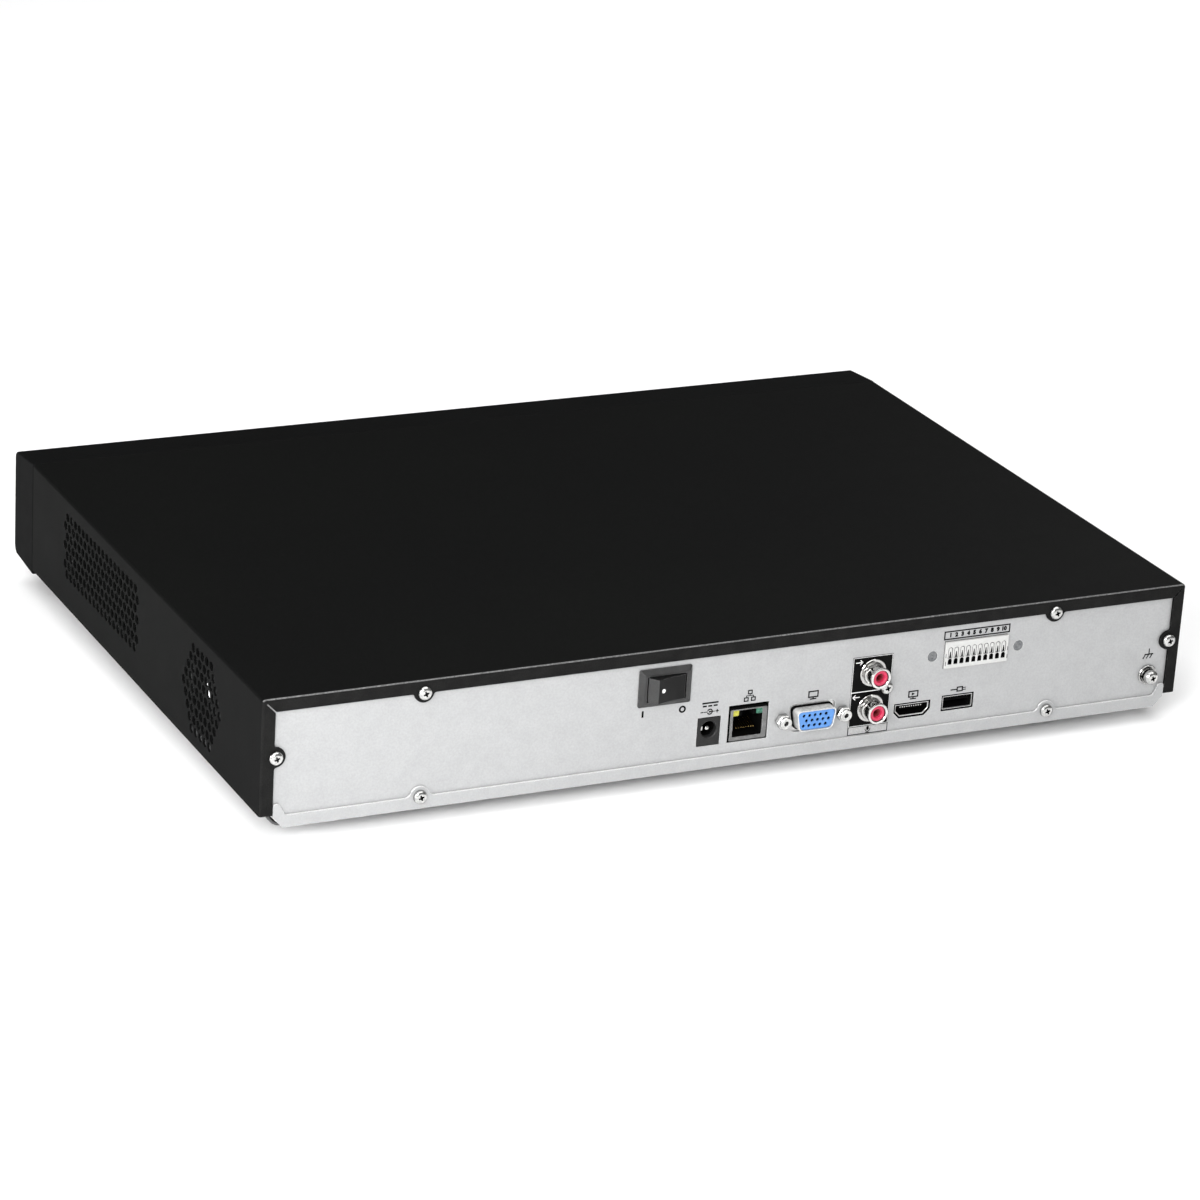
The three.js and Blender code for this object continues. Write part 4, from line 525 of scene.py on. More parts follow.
def dress(node, look, edge):
    """Gives a carried-over CAD node its finish, and a small bevel on its sharp edges."""
    obj = NODES[node]
    obj.data.materials.clear()
    obj.data.materials.append(LOOKS[look])
    obj.modifiers.new("weld", "WELD").merge_threshold = 1e-6
    bevel = obj.modifiers.new("edge", "BEVEL")
    bevel.width, bevel.segments, bevel.limit_method = edge * MM, 2, "ANGLE"
    bevel.angle_limit = math.radians(40)
    bevel.use_clamp_overlap = True
    bevel.harden_normals = False
    smooth(obj)


# ---------------------------------------------------------------- the case

SHEET = 0.8
FLANGE = 5.0
BEND = 1.2  # outer radius of the cover's long bends
REAR_BEND = 1.0
TAB_RADIUS = 3.8
TAB_FILLET = 1.1
CELL = 3.4  # width of a vent cell across its flats
CELL_PITCH = 4.5
ROW_PITCH = 3.9
FAN_ROWS = (5, 6, 7, 8, 9, 8, 7, 6, 5)
SIDE_ROWS = (18, 19, 18, 19, 18, 19, 18)
SIDE_VENT = (-35.5, 37.0)


def cover_profile(offset, low, half, top):
    """The cover's section from its lower left edge over the top to the lower right edge."""
    radius = max(BEND - offset, 0.15)
    x, z = half - offset - radius, top - offset - radius
    turns = [math.radians(15 * k) for k in range(7)]
    arc = [(x + radius * math.cos(a), z + radius * math.sin(a)) for a in turns]
    return [(half - offset, low), *arc, *[(-u, v) for u, v in reversed(arc)], (-(half - offset), low)]


def tab(edge_to_centre):
    """A rounded tab with fillets, in (along, into the opening) from the straight edge of the flange."""
    radius, fillet, c = TAB_RADIUS, TAB_FILLET, edge_to_centre
    ds = math.sqrt((radius + fillet) ** 2 - (fillet - c) ** 2)
    first = []
    end = math.atan2(c - fillet, ds)
    for k in range(6):
        a = -math.pi / 2 + (end + math.pi / 2) * k / 5
        first.append((-ds + fillet * math.cos(a), fillet + fillet * math.sin(a)))
    start = math.atan2(fillet - c, -ds)
    arc = []
    for k in range(1, 16):
        a = start + (math.pi - start - start) * k / 16
        arc.append((radius * math.cos(a), c + radius * math.sin(a)))
    return [*first, *arc, *[(-s, t) for s, t in reversed(first)]]


def flange_opening(half, top, low, screws):
    """The inner outline of the rear flange, from its lower left end over the top to its lower right end."""
    side, lid = half - FLANGE, top - FLANGE
    sx, sz = screws["side"]
    out, gap = FLANGE - 1.3, 0.3  # the notch for the folded corner: its reach and its own corner cuts
    points = [
        (side, low), *[(side - t, sz + s) for s, t in tab(side - sx)],
        (side, lid - gap), (side + out - gap, lid + out - 2 * gap), (side + out - 2 * gap, lid + out - gap),
        (side - gap, lid),
    ]
    mirror = [(-x, z) for x, z in reversed(points)]
    for x, z in screws["top"]:
        points += [(x - s, lid - t) for s, t in tab(lid - z)]
    return points + mirror


def vent(rows, y_middle, z_middle, x0, x1):
    cells = []
    radius = CELL / math.sqrt(3)
    for row, count in enumerate(rows):
        z = z_middle + (row - (len(rows) - 1) / 2) * ROW_PITCH
        for cell in range(count):
            y = y_middle + (cell - (count - 1) / 2) * CELL_PITCH
            outline = [
                (y + radius * math.sin(math.radians(60 * k)), z + radius * math.cos(math.radians(60 * k)))
                for k in range(6)
            ]
            cells.append(turned_to_x(prism(outline, x0, x1)))
    return merge(*cells)


def build_cover():
    (_, half), (front, rear), (low, top) = span("top_cover")
    screws = {
        "side": centre(span("cover_screw_side_left")),
        "top": [centre(span(f"cover_screw_top_{side}")) for side in ("left", "right")],
    }
    outer = [(front, cover_profile(0, low, half, top))]
    for k in range(6):
        a = math.radians(18 * k)
        y = rear - REAR_BEND + REAR_BEND * math.sin(a)
        outer.append((y, cover_profile(REAR_BEND * (1 - math.cos(a)), low, half, top)))
    inner = [(y, cover_profile(SHEET, low, half, top)) for y in (front, rear - SHEET)]
    count = len(outer[0][1])
    points = stacked(outer)
    faces = ring_faces(len(outer), count, closed=False)
    base = len(points)
    points += stacked(inner)
    faces += [tuple(base + i for i in f) for f in ring_faces(2, count, closed=False)]
    faces += [(i, i + 1, base + i + 1, base + i) for i in range(count - 1)]
    opening = flange_opening(half, top, low, screws)
    start = len(points)
    points += stacked(((rear, opening), (rear - SHEET, opening)))
    size = len(opening)
    faces += [(start + i, start + i + 1, start + size + i + 1, start + size + i) for i in range(size - 1)]
    last = (len(outer) - 1) * count
    faces.append((*range(last, last + count), *range(start + size - 1, start - 1, -1)))
    back = base + count
    faces.append((*range(back, back + count), *range(start + 2 * size - 1, start + size - 1, -1)))
    for end, first in ((0, start), (count - 1, start + size - 1)):
        rings = [k * count + end for k in range(len(outer))]
        faces.append((*rings, first, first + size, back + end, base + end))
    shell = mesh_of(points, faces)
    fan_y, fan_z = middle(span("fan_frame")[1]), middle(span("fan_frame")[2])
    holes = [
        vent(FAN_ROWS, fan_y, fan_z, half - 2, half + 1),
        vent(SIDE_ROWS, *SIDE_VENT, half - 2, half + 1),
        vent(SIDE_ROWS, *SIDE_VENT, -half - 1, -half + 2),
    ]
    cover = carve(shell, *holes)
    cover.materials.clear()
    for look in ("paint", "flange_paint", "bend_paint"):
        cover.materials.append(LOOKS[look])
    for face in cover.polygons:
        # painted light: faces turned to the rear take the lighter copy of the powder coat
        if face.center.y > (rear - 0.75) * MM and face.normal.y > 0.35:
            face.material_index = 1
        # painted highlight: the rear bend's upper faces
        if face.center.y > (rear - 0.9) * MM and 0.2 < face.normal.y < 0.85 and face.normal.z > 0.4:
            face.material_index = 2
    piece("cover", cover, "paint", replaces=["top_cover"])


def bezel_outline(front, rear, bottom, top, inset):
    """Side view of the bezel as (y, z), with rounded front edges."""
    drop, edge = 1.6, 3.0 - inset / 2
    y, upper, lower, tall = front + inset, top - drop - inset, bottom + drop + inset, 1.5 * edge
    turns = [math.radians(10 * k) for k in range(10)]
    points = [(y + edge - edge * math.sin(a), upper - edge + edge * math.cos(a)) for a in turns]
    points += [(y + edge - edge * math.cos(a), lower + tall - tall * math.sin(a)) for a in turns]
    return [(rear, top - inset), *points, (rear, bottom + inset)]


def build_bezel():
    (x0, x1), (front, _), (bottom, top) = span("front_bezel")
    rear = span("top_cover")[1][0] - 0.2
    wall = 2.0
    hull = bevelled(along_x(bezel_outline(front, rear, bottom, top, 0), x0, x1), 0.7, 3, 60)
    hollow = along_x(bezel_outline(front, rear + 2, bottom, top, wall), x0 + wall, x1 - wall)
    pane = span("status_window")
    port = span("usb_front_shell")
    gap = 0.25
    pocket = box(grown(pane[0], gap), (front - 1, pane[1][1] + gap), grown(pane[2], gap))
    hole = box(grown(port[0], gap), (front - 1, front + 5), grown(port[2], gap))
    shell = carve(hull, hollow, pocket, hole)
    clips = []
    for z in (14.8, 47.0):
        for side in (-1, 1):
            x = side * (x1 - 60)
            arm = box(about(x, 7), (front + 1.5, rear + 5.6), about(z, 0.8), 0.3)
            clips += [arm, box(about(x, 7), (rear + 4.4, rear + 5.6), (z - 0.8, z + 0.9))]
    piece("bezel", merge(shell, *clips), "bezel", replaces=["front_bezel"])
    glass = bevelled(prism(rounded(pane[0], pane[2], 0.6), pane[1][0] + 0.05, pane[1][1]), 0.12)
    piece("window", glass, "gloss", replaces=["status_window"])
    lamps = []
    for k in range(4):
        x, z, y = pane[0][1] - 6 - 8 * k, middle(pane[2]), pane[1][0]
        lamps.append(lathe(x, z, [(0.75, y + 0.1), (0.75, y + 0.03), (0.6, y)], 20))
    piece("window_lamps", merge(*lamps), "white_ink", slot="window_gloss")


def along_x(outline, x0, x1):
    """An outline of (y, z) points, thickened along X."""
    return turned_to_x(prism(outline, x0, x1))


def build_feet():
    for name in ("front_left", "front_right", "rear_left", "rear_right"):
        (x0, x1), (y0, y1), (z0, z1) = span(f"foot_{name}")
        radius = (x1 - x0) / 2
        profile = [(radius * 0.99, z1), (radius, z1 - 0.4), (radius, z0 + 4.2), (radius - 0.5, z0 + 2.4)]
        for k in range(6):
            a = math.radians(18 * k)
            profile.append((radius - 1.4 + 0.9 * math.cos(a), z0 + 0.9 - 0.9 * math.sin(a)))
        profile += [(3.4, z0), (3.1, z0 + 0.5), (3.1, z0 + 3.0), (0.6, z0 + 3.0)]
        foot = lathe(0, 0, [(r, -z) for r, z in profile], 48)
        turned(foot, -90, "X", (0, 0, 0))
        for v in foot.vertices:
            v.co.z = abs(v.co.z)  # the turn leaves some a rounding error under the floor
        moved(foot, middle((x0, x1)), middle((y0, y1)), 0)
        welded(foot)
        piece(f"foot_{name}_rubber", foot, "rubber", replaces=[f"foot_{name}"])


# ---------------------------------------------------------------- fasteners


def cross_cutter(x, z, face):
    """The cutters of a cross recess whose arms narrow towards the bottom."""
    reach, depth, width = 1.45, 1.1, 0.34
    bars = []
    for turn in (20, 110):
        bar = box(about(x, reach), (face - depth, face + 1), about(z, width))
        for v in bar.vertices:
            if v.co.y < face * MM:
                v.co.x = x * MM + (v.co.x - x * MM) * 0.5
        bars.append(turned(bar, turn, "Y", (x, 0, z)))
    bars.append(lathe(x, z, [(0.25, face - depth), (0.75, face + 0.1), (0.75, face + 0.8)], 8))
    return bars


def pan_head(x, z, base, top, radius):
    height = top - base
    shank = radius * 0.6
    profile = [(shank, base - 1.5), (shank, base), (radius * 0.97, base), (radius, base + 0.12 * height)]
    for k in range(7):
        a = math.radians(15 * k)
        profile.append((radius * (0.42 + 0.56 * math.cos(a)), base + height * (0.3 + 0.7 * math.sin(a))))
    head = lathe(x, z, profile, 36)
    for cutter in cross_cutter(x, z, top):
        head = carve(head, cutter)
    return head


def build_screws():
    for node in (
        "cover_screw_top_left", "cover_screw_top_right", "cover_screw_side_left", "cover_screw_side_right",
        "panel_screw_left", "panel_screw_right", "audio_screw",
    ):
        part = span(node)
        radius, y1 = (part[0][1] - part[0][0]) / 2, part[1][1]
        piece(f"{node}_head", pan_head(*centre(part), y1 - 1.7, y1, radius), "zinc", replaces=[node])
    (x0, x1), (_, y1), (z0, z1) = span("ground_screw")
    x, z, washer = middle((x0, x1)), middle((z0, z1)), (x1 - x0) / 2
    head = pan_head(x, z, y1 - 2.6, y1, 2.9)
    flat = tube(x, z, [
        (1.6, y1 - 4.8), (washer - 0.15, y1 - 4.8), (washer, y1 - 4.65), (washer, y1 - 4.2),
        (washer - 0.15, y1 - 4.05), (1.6, y1 - 4.05),
    ])
    spring = spring_washer(x, z, y1 - 3.98, 3.2, 1.1)
    piece("ground_screw_head", merge(head, flat, spring), "zinc", replaces=["ground_screw"])


def spring_washer(x, z, y, radius, height):
    """A split washer that climbs by a third of its thickness round its turn."""
    points, steps = [], 40
    for k in range(steps + 1):
        a = math.radians(8 + 344 * k / steps)
        rise = 0.3 * k / steps
        for r, h in ((radius - 1.1, 0), (radius, 0), (radius, height - 0.3), (radius - 1.1, height - 0.3)):
            points.append((x + r * math.cos(a), y + h + rise, z + r * math.sin(a)))
    faces = ring_faces(steps + 1, 4) + [(0, 1, 2, 3), tuple(4 * steps + i for i in (3, 2, 1, 0))]
    return mesh_of(points, faces)


def build_studs():
    for side in ("left", "right"):
        part = span(f"clinch_stud_{side}")
        radius, y1 = (part[0][1] - part[0][0]) / 2, part[1][1]
        profile = [(radius * 0.7, y1 - 6), (radius * 0.7, y1 - 0.8), (radius, y1 - 0.8), (radius, y1 - 0.08),
                   (radius - 0.1, y1), (0.75, y1), (0.68, y1 - 0.12), (0.5, y1 - 0.12), (0.42, y1 - 0.03)]
        piece(f"stud_{side}_head", lathe(*centre(part), profile), "stud", replaces=[f"clinch_stud_{side}"])


# ---------------------------------------------------------------- rocker switch


def build_rocker():
    (x0, x1), (_, face), (z0, z1) = span("rocker_frame")
    x, z = middle((x0, x1)), middle((z0, z1))
    seat = PANEL + 0.1
    outer = rounded((x0, x1), (z0, z1), 0.6)
    slope = rounded((x0 + 1.5, x1 - 1.5), (z0 + 1.5, z1 - 1.5), 0.5)
    lip = rounded((x0 + 1.75, x1 - 1.75), (z0 + 1.75, z1 - 1.75), 0.4)
    window = rounded(about(x, 7.9), about(z, 5), 0.4)
    back = rounded(about(x, 9.5), about(z, 6.4), 0.4)
    loops = [(seat, outer), (seat + 0.5, outer), (face - 0.15, slope), (face, lip), (face, window),
             (seat - 13, window), (seat - 13, back), (seat, back), (seat, outer)]
    rim = welded(mesh_of(stacked(loops), ring_faces(len(loops), len(outer))))
    floor = box(about(x, 8), (seat - 13.6, seat - 9), about(z, 5.1))
    blades = [box(about(x + s, 0.4), (seat - 20, seat - 13), about(z, 2.4), 0.15) for s in (-5.3, 5.3)]
    piece("rocker_bezel", merge(rim, floor, *blades), "switch_frame", replaces=["rocker_frame"])

    joint = next(j for j in frame["joints"] if j["name"] == "rocker_switch")
    px, py, pz = (v / MM for v in joint["pos_m"])
    radius, ridge, lowest, dish = 8.3, math.radians(44), math.radians(14), 0.4
    arc = [math.pi - ridge + (ridge - lowest) * k / 10 for k in range(11)]
    left = [(radius * math.cos(a), radius * math.sin(a)) for a in arc]
    crest = left[0]
    shape = left + [(-5, -2.5), (5, -2.5)] + [(-u, v) for u, v in reversed(left)]
    shape += [(crest[0] * -s, crest[1] - dish * (1 - s ** 2)) for s in (0.66, 0.33, 0, -0.33, -0.66)]
    cap = bevelled(prism_xy([(px + u, py + v) for u, v in shape], pz - 4.7, pz + 4.7), 0.22, 2, 30)
    tilt = 12
    turned(cap, tilt, "Z", (px, py, pz))
    pins = turned(lathe(px, 0, [(1, -5.7), (1, 5.7)], 16), 90, "X", (px, 0, 0))
    moved(pins, 0, py, pz)
    whole = merge(cap, pins)
    for look in ("switch", "switch_grip"):
        whole.materials.append(LOOKS[look])
    for side in whole.polygons:
        # painted light: the rocker's sideways-facing end faces take the lighter copy
        if abs(side.normal.x) > 0.35 and abs(side.center.x - px * MM) > 4 * MM and abs(side.normal.z) < 0.5:
            side.material_index = 1
    piece("rocker_cap", whole, "switch", body="rocker", replaces=["rocker_button"])
    level = py + crest[1]
    profile = [(0.8, level - 0.5), (0.8, level - dish + 0.22), (0.72, level - dish + 0.26)]
    dot = lathe(px + 3.7, pz, profile, 24)
    turned(dot, tilt, "Z", (px, py, pz))
    piece("rocker_dot", dot, "white_ink", body="rocker", slot="switch_plastic")


def prism_xy(outline, z0, z1):
    """An outline of (x, y) points, thickened along Z."""
    mesh = prism(outline, z0, z1)
    for v in mesh.vertices:
        v.co = Vector((v.co.x, v.co.z, v.co.y))
    mesh.flip_normals()
    return mesh


# ---------------------------------------------------------------- power and network


def build_power():
    (x0, x1), (y0, y1), (z0, z1) = span("dc_jack_body")
    x, z = centre(span("dc_jack_pin"))
    body = bevelled(prism(rounded((x0, x1), (z0, z1), 0.3, 3), y0, y1), 0.15)
    bore = lathe(x, z, [(3.15, y1 - 10), (3.15, y1 - 0.35), (3.5, y1 + 0.01), (3.5, y1 + 1)], 48)
    piece("dc_body", carve(body, bore), "black", replaces=["dc_jack_body"])
    # painted shade: a deep-black lining inside the inlet's bore
    bore_shade = tube(x, z, [(2.7, y1 - 9.9), (3.1, y1 - 9.9), (3.1, y1 - 2.2), (2.7, y1 - 2.2)], 40)
    spring = box((x + 1.7, x + 2.9), (y1 - 8, y1 - 1.6), about(z, 0.9), 0.25)
    profile = [(1, y1 - 10), (1, y1 - 1.9), (0.85, y1 - 1.4), (0.45, y1 - 1.1), (0.1, y1 - 1.05)]
    needle = lathe(x, z, profile, 24)
    piece("dc_contacts", merge(needle, spring), "nickel", replaces=["dc_jack_pin"])
    piece("dc_bore_shade", bore_shade, "deep_black")


def build_network():
    (x0, x1), (y0, y1), (z0, z1) = span("lan_shell")
    x = middle((x0, x1))
    right, roof = x1 - 0.8, z1 - 0.6
    mouth = about(x, 5.9), (z0 + 1.6, z0 + 9.6)
    outer = rounded((x0, right), (z0, roof), 0.4)
    inner = rounded(grown(mouth[0], 0.12), (mouth[1][0] - 0.1, roof - 0.5), 0.3)
    thin = rounded((x0 + 0.4, right - 0.4), (z0 + 0.4, roof - 0.4), 0.3)
    gap = rounded(grown((x0, x1), 0.25), grown((z0, z1), 0.25), 0.4)
    gap_ring("lan_gap", gap, rounded((x0 + 0.05, right - 0.02), (z0 + 0.05, roof - 0.02), 0.4), y1 + 0.28)
    face = frame_loop(outer, inner, y1 - 0.35, y1)
    walls = frame_loop(outer, thin, y0, y1 - 0.3)
    back = box((x0 + 0.1, x1 - 0.1), (y0, y0 + 0.4), (z0 + 0.1, z1 - 0.1))
    tabs = []
    for side in (-1, 1):
        u = x + side * 5.95
        tabs.append(box(sorted((u, u + side * 0.5)), (y1 - 4, y1 + 0.06), (z0 + 4.0, z0 + 7.0), 0.12))
    piece("lan_metal", merge(bevelled(face, 0.1), walls, back, *tabs), "lan_shell", replaces=["lan_shell"])
    insert = span("lan_insert")
    core = prism(rounded(insert[0], insert[2], 0.2, 2), insert[1][0], y1 - 0.4)
    cavity = box(mouth[0], (y1 - 12.5, y1 + 1), mouth[1])
    notch = box(about(x, 2.2), (y1 - 12.5, y1 + 1), (mouth[1][1] - 0.5, mouth[1][1] + 1.9))
    pockets = []
    for colour in ("yellow", "green"):
        led = span(f"lan_led_{colour}")
        pockets.append(box(grown(led[0], 0.08), (led[1][0] - 0.1, y1 + 1), grown(led[2], 0.08)))
    piece("lan_core", carve(core, cavity, notch, *pockets), "deep_black", replaces=["lan_insert"])
    for colour in ("yellow", "green"):
        led = span(f"lan_led_{colour}")
        lens = bevelled(prism(rounded(led[0], led[2], 0.35), led[1][0], led[1][1]), 0.18)
        piece(f"lan_lamp_{colour}", lens, colour, replaces=[f"lan_led_{colour}"])
    wires = []
    for k in range(8):
        u = x + (k - 3.5) * 1.02
        wire = box(about(u, 0.18), (y1 - 8, y1 - 1.8), (mouth[1][0] + 2.4, mouth[1][0] + 2.7), 0.05)
        wires.append(turned(wire, -20, "X", (u, y1 - 1.8, mouth[1][0] + 2.5)))
    piece("lan_contacts", merge(*wires), "gold", slot="bright_metal")


# ---------------------------------------------------------------- display socket


def d_outline(x, z, width, height, slope, radius, margin=0.0, steps=6):
    half = width / 2 + margin
    top, bottom = z + height / 2 + margin, z - height / 2 - margin
    corners = [(x + half, top), (x - half, top), (x - half + slope, bottom), (x + half - slope, bottom)]
    r, points = radius + margin / 2, []
    for i, corner in enumerate(corners):
        here, before, after = Vector(corner), Vector(corners[i - 1]), Vector(corners[(i + 1) % 4])
        a, b = here + (before - here).normalized() * r, here + (after - here).normalized() * r
        for k in range(steps + 1):
            t = k / steps
            p = a * (1 - t) ** 2 + here * 2 * t * (1 - t) + b * t * t
            points.append((p.x, p.y))
    return points


def build_display():
    (_, _), (y0, face), (_, _) = span("vga_shell")
    insert = span("vga_insert")
    x, z = centre(insert)

    def loop(margin):
        return d_outline(x, z, 16.7, 8.3, 1.4, 2.0, margin)

    run = [(y0, 0), (face - 0.35, 0), (face - 0.1, -0.08), (face, -0.25), (face - 0.1, -0.42),
           (face - 0.4, -0.45), (y0 + 0.2, -0.45), (y0, -0.4), (y0, 0)]
    points = stacked([(y, loop(margin)) for y, margin in run])
    collar = welded(mesh_of(points, ring_faces(len(run), len(loop(0)))))
    plate = box(about(x, 15.4), (y0, y0 + 1), about(z, 5.75), 0.2)
    plate = carve(plate, prism(loop(-0.45), y0 - 1, y0 + 2))
    piece("vga_metal", merge(collar, plate), "bright_shell", replaces=["vga_shell"])
    core = bevelled(prism(loop(-0.55), insert[1][0], insert[1][1]), 0.25, 2, 50)
    gap_ring("vga_gap", loop(0.45), loop(0.01), PANEL + 0.34)
    holes, hole_floor_shades, front = [], [], insert[1][1]
    for row in (-1, 0, 1):
        for column in range(-2, 3):
            u = x + column * 2.29 + (-0.57 if row == 0 else 0.57)
            v = z + row * 1.98
            holes.append(lathe(
                u, v, [(0.6, front - 4), (0.6, front - 0.2), (0.72, front + 0.02), (0.72, front + 1)], 14,
            ))
            # painted shade: black plugs sunk in the contact holes
            hole_floor_shades.append(lathe(u, v, [(0.59, front - 3.9), (0.59, front - 0.4), (0.2, front - 0.8)], 14))
    piece("vga_core", carve(core, *holes), "blue", replaces=["vga_insert"])
    piece("vga_hole_shade", merge(*hole_floor_shades), "deep_black")
    for side in ("left", "right"):
        node = f"vga_jackscrew_{side}"
        nut = jackscrew(middle(span(node)[0]), z, PANEL + 0.1, span(node)[1][1])
        piece(f"vga_nut_{side}", nut, "zinc", replaces=[node])


def jackscrew(x, z, base, tip):
    hexagon = lathe(x, z, [(2.7, base), (2.95, base + 0.2), (2.95, tip - 1.5), (2.5, tip - 1.1)], 6)
    nose = lathe(x, z, [(2.2, tip - 2), (2.35, tip - 1.2), (2.35, tip - 0.25), (2.1, tip)], 32)
    stud = lathe(x, z, [(1.4, base - 6), (1.4, base + 0.2)], 20)
    bore = lathe(x, z, [(0.85, tip - 3), (0.85, tip - 0.2), (1.05, tip + 0.05), (1.05, tip + 1)], 24)
    return merge(hexagon, carve(nose, bore), stud)


# ---------------------------------------------------------------- audio jacks


def build_audio():
    for name in ("out", "in"):
        (x0, x1), (y0, tip), (z0, z1) = span(f"audio_barrel_{name}")
        x, z = middle((x0, x1)), middle((z0, z1))
        base = PANEL + 0.12
        profile = [
            (3.15, y0), (4.1, y0), (4.1, base), (5.25, base), (5.4, base + 0.15), (5.4, base + 0.8),
            (5.2, base + 1.0), (4.4, base + 1.05), (4.25, base + 1.4), (4.2, base + 2.2), (3.8, base + 2.4),
            (3.8, tip - 1.75), (3.95, tip - 1.55), (4.1, tip - 1.3), (4.1, tip - 0.3), (3.98, tip - 0.08),
            (3.8, tip), (3.3, tip), (3.15, tip - 0.15),
        ]
        piece(f"jack_{name}_barrel", tube(x, z, profile, 56), "nickel", replaces=[f"audio_barrel_{name}"])
        insert = span(f"audio_insert_{name}")
        face = insert[1][1]
        ring = tube(x, z, [
            (3.0, face - 6), (3.0, face - 0.2), (2.85, face), (2.0, face), (1.75, face - 0.3),
            (1.6, face - 0.9), (1.6, face - 6),
        ], 48)
        piece(f"jack_{name}_insert", ring, "pink", replaces=[f"audio_insert_{name}"])
        # painted shade: the darker pink deep in the socket
        depth = tube(x, z, [
            (1.58, face - 5.8), (1.58, face - 1.2), (1.2, face - 1.3), (0.75, face - 2.4), (0.75, face - 5.8),
        ], 32)
        piece(f"jack_{name}_socket", depth, "pink_depth")
    (x0, x1), (y0, y1), (z0, z1) = span("audio_block")
    body = box((x0, x1), (y0, y1), (z0, z1), 0.4)
    x = middle((x0, x1))
    levels = [middle(span(f"audio_barrel_{way}")[2]) for way in ("out", "in")]
    wells = [lathe(x, z, [(4.3, y1 - 9), (4.3, y1 + 1)], 32) for z in levels]
    wells.append(lathe(*centre(span("audio_screw")), [(1.7, y1 - 7), (1.7, y1 + 1)], 16))
    piece("jack_housing", carve(body, *wells), "black", replaces=["audio_block"])


# ---------------------------------------------------------------- video and serial ports


def gap_ring(name, outer, inner, face):
    """A black ring just under the panel: painted shade standing in for the dark gap between a socket and the
    edge of its cut-out.
    """
    piece(name, frame_loop(outer, inner, face - 2.2, face - 0.28), "deep_black")


def chamfered(x, z, cut):
    """A rectangle's outline with its two lower corners cut off."""
    return [
        (x[1], z[1]), (x[0], z[1]), (x[0], z[0] + cut), (x[0] + cut, z[0]),
        (x[1] - cut, z[0]), (x[1], z[0] + cut),
    ]


def build_video():
    (x0, x1), (y0, y1), (z0, z1) = span("video_port_shell")

    def shrink(margin):
        return chamfered((x0 + margin, x1 - margin), (z0 + margin, z1 - margin), 2.4 - 0.6 * margin)

    run = [(y0, 0.35), (y1 - 0.1, 0.35), (y1, 0.42), (y1, 0.62), (y1 - 0.1, 0.7), (y0 + 0.6, 0.7),
           (y0 + 0.6, 2.2)]
    gap_ring("video_gap", shrink(-0.28), shrink(0.36), PANEL)
    points = stacked([(y, shrink(margin)) for y, margin in run])
    piece("video_metal", capped(points, 6), "stamped", replaces=["video_port_shell"])
    # painted shade: a black liner inside the metal shell
    shade_liner = frame_loop(shrink(0.71), shrink(0.85), y0 + 1, y1 - 0.4)
    piece("video_inner_shade", shade_liner, "deep_black")
    tongue = span("video_port_tongue")
    piece("video_blade", box(*tongue, 0.15), "deep_black", replaces=["video_port_tongue"])
    contacts = []
    for k in range(10):
        u = tongue[0][0] + 0.9 + k * (tongue[0][1] - tongue[0][0] - 1.8) / 9
        depth, height = (tongue[1][0] + 0.5, tongue[1][1] + 0.04), (tongue[2][1] - 0.35, tongue[2][1] + 0.08)
        contacts.append(box(about(u, 0.2), depth, height))
    piece("video_contacts", merge(*contacts), "zinc", slot="bright_metal")


def port_outline(node, margin):
    x, _, z = span(node)
    return rounded((x[0] + margin, x[1] - margin), (z[0] + margin, z[1] - margin), 0.35)


def serial_port(name, node, outward):
    """The metal shell of a serial port that faces +Y or -Y; returns its black liner of painted shade, its
    tongue and its contacts.
    """
    x, z = centre(span(node))
    back, face = span(node)[1][::outward]
    run = [(back, 0.3), (face - 0.1 * outward, 0.3), (face, 0.36), (face, 0.54), (face - 0.12 * outward, 0.6),
           (back + 0.5 * outward, 0.6), (back + 0.5 * outward, 1.5)]
    points = stacked([(y, port_outline(node, margin)) for y, margin in run])
    piece(f"{name}_metal", capped(points, len(points) // len(run)), "stamped", replaces=[node])
    depth = sorted((back + 1 * outward, face - 0.6 * outward))
    shade_liner = frame_loop(port_outline(node, 0.61), port_outline(node, 0.75), *depth)
    depth = sorted((back + 0.7 * outward, face - 1.2 * outward))
    tongue = box(about(x, 5.5), depth, (z + 0.2, z + 2.0), 0.2)
    depth = sorted((back + 2 * outward, face - 2.2 * outward))
    contacts = [box(about(x + (k - 1.5) * 2.4, 0.5), depth, (z + 0.08, z + 0.28)) for k in range(4)]
    return shade_liner, tongue, contacts


def build_serial():
    shade_liner, tongue, contacts = serial_port("usb_rear", "usb_rear_shell", 1)
    piece("usb_rear_inner_shade", shade_liner, "deep_black")
    outer, inner = port_outline("usb_rear_shell", -0.28), port_outline("usb_rear_shell", 0.31)
    gap_ring("usb_rear_gap", outer, inner, PANEL)
    piece("usb_rear_blade", tongue, "deep_black", replaces=["usb_rear_tongue"])
    piece("usb_rear_contacts", merge(*contacts), "gold", slot="bright_metal")
    shade_liner, tongue, contacts = serial_port("usb_front", "usb_front_shell", -1)
    # the front port's liner is painted shade; its tongue is black plastic
    piece("usb_front_blade", merge(shade_liner, tongue), "deep_black")
    piece("usb_front_contacts", merge(*contacts), "gold", slot="bright_metal")


# ---------------------------------------------------------------- terminal block


def arch(x, z0, z1, half, steps=6):
    """An outline with a flat foot and a round top."""
    turns = [math.pi * k / steps for k in range(steps + 1)]
    top = [(x + half * math.cos(a), z1 - half + half * math.sin(a)) for a in turns]
    return [(x - half, z0), (x + half, z0), *top]


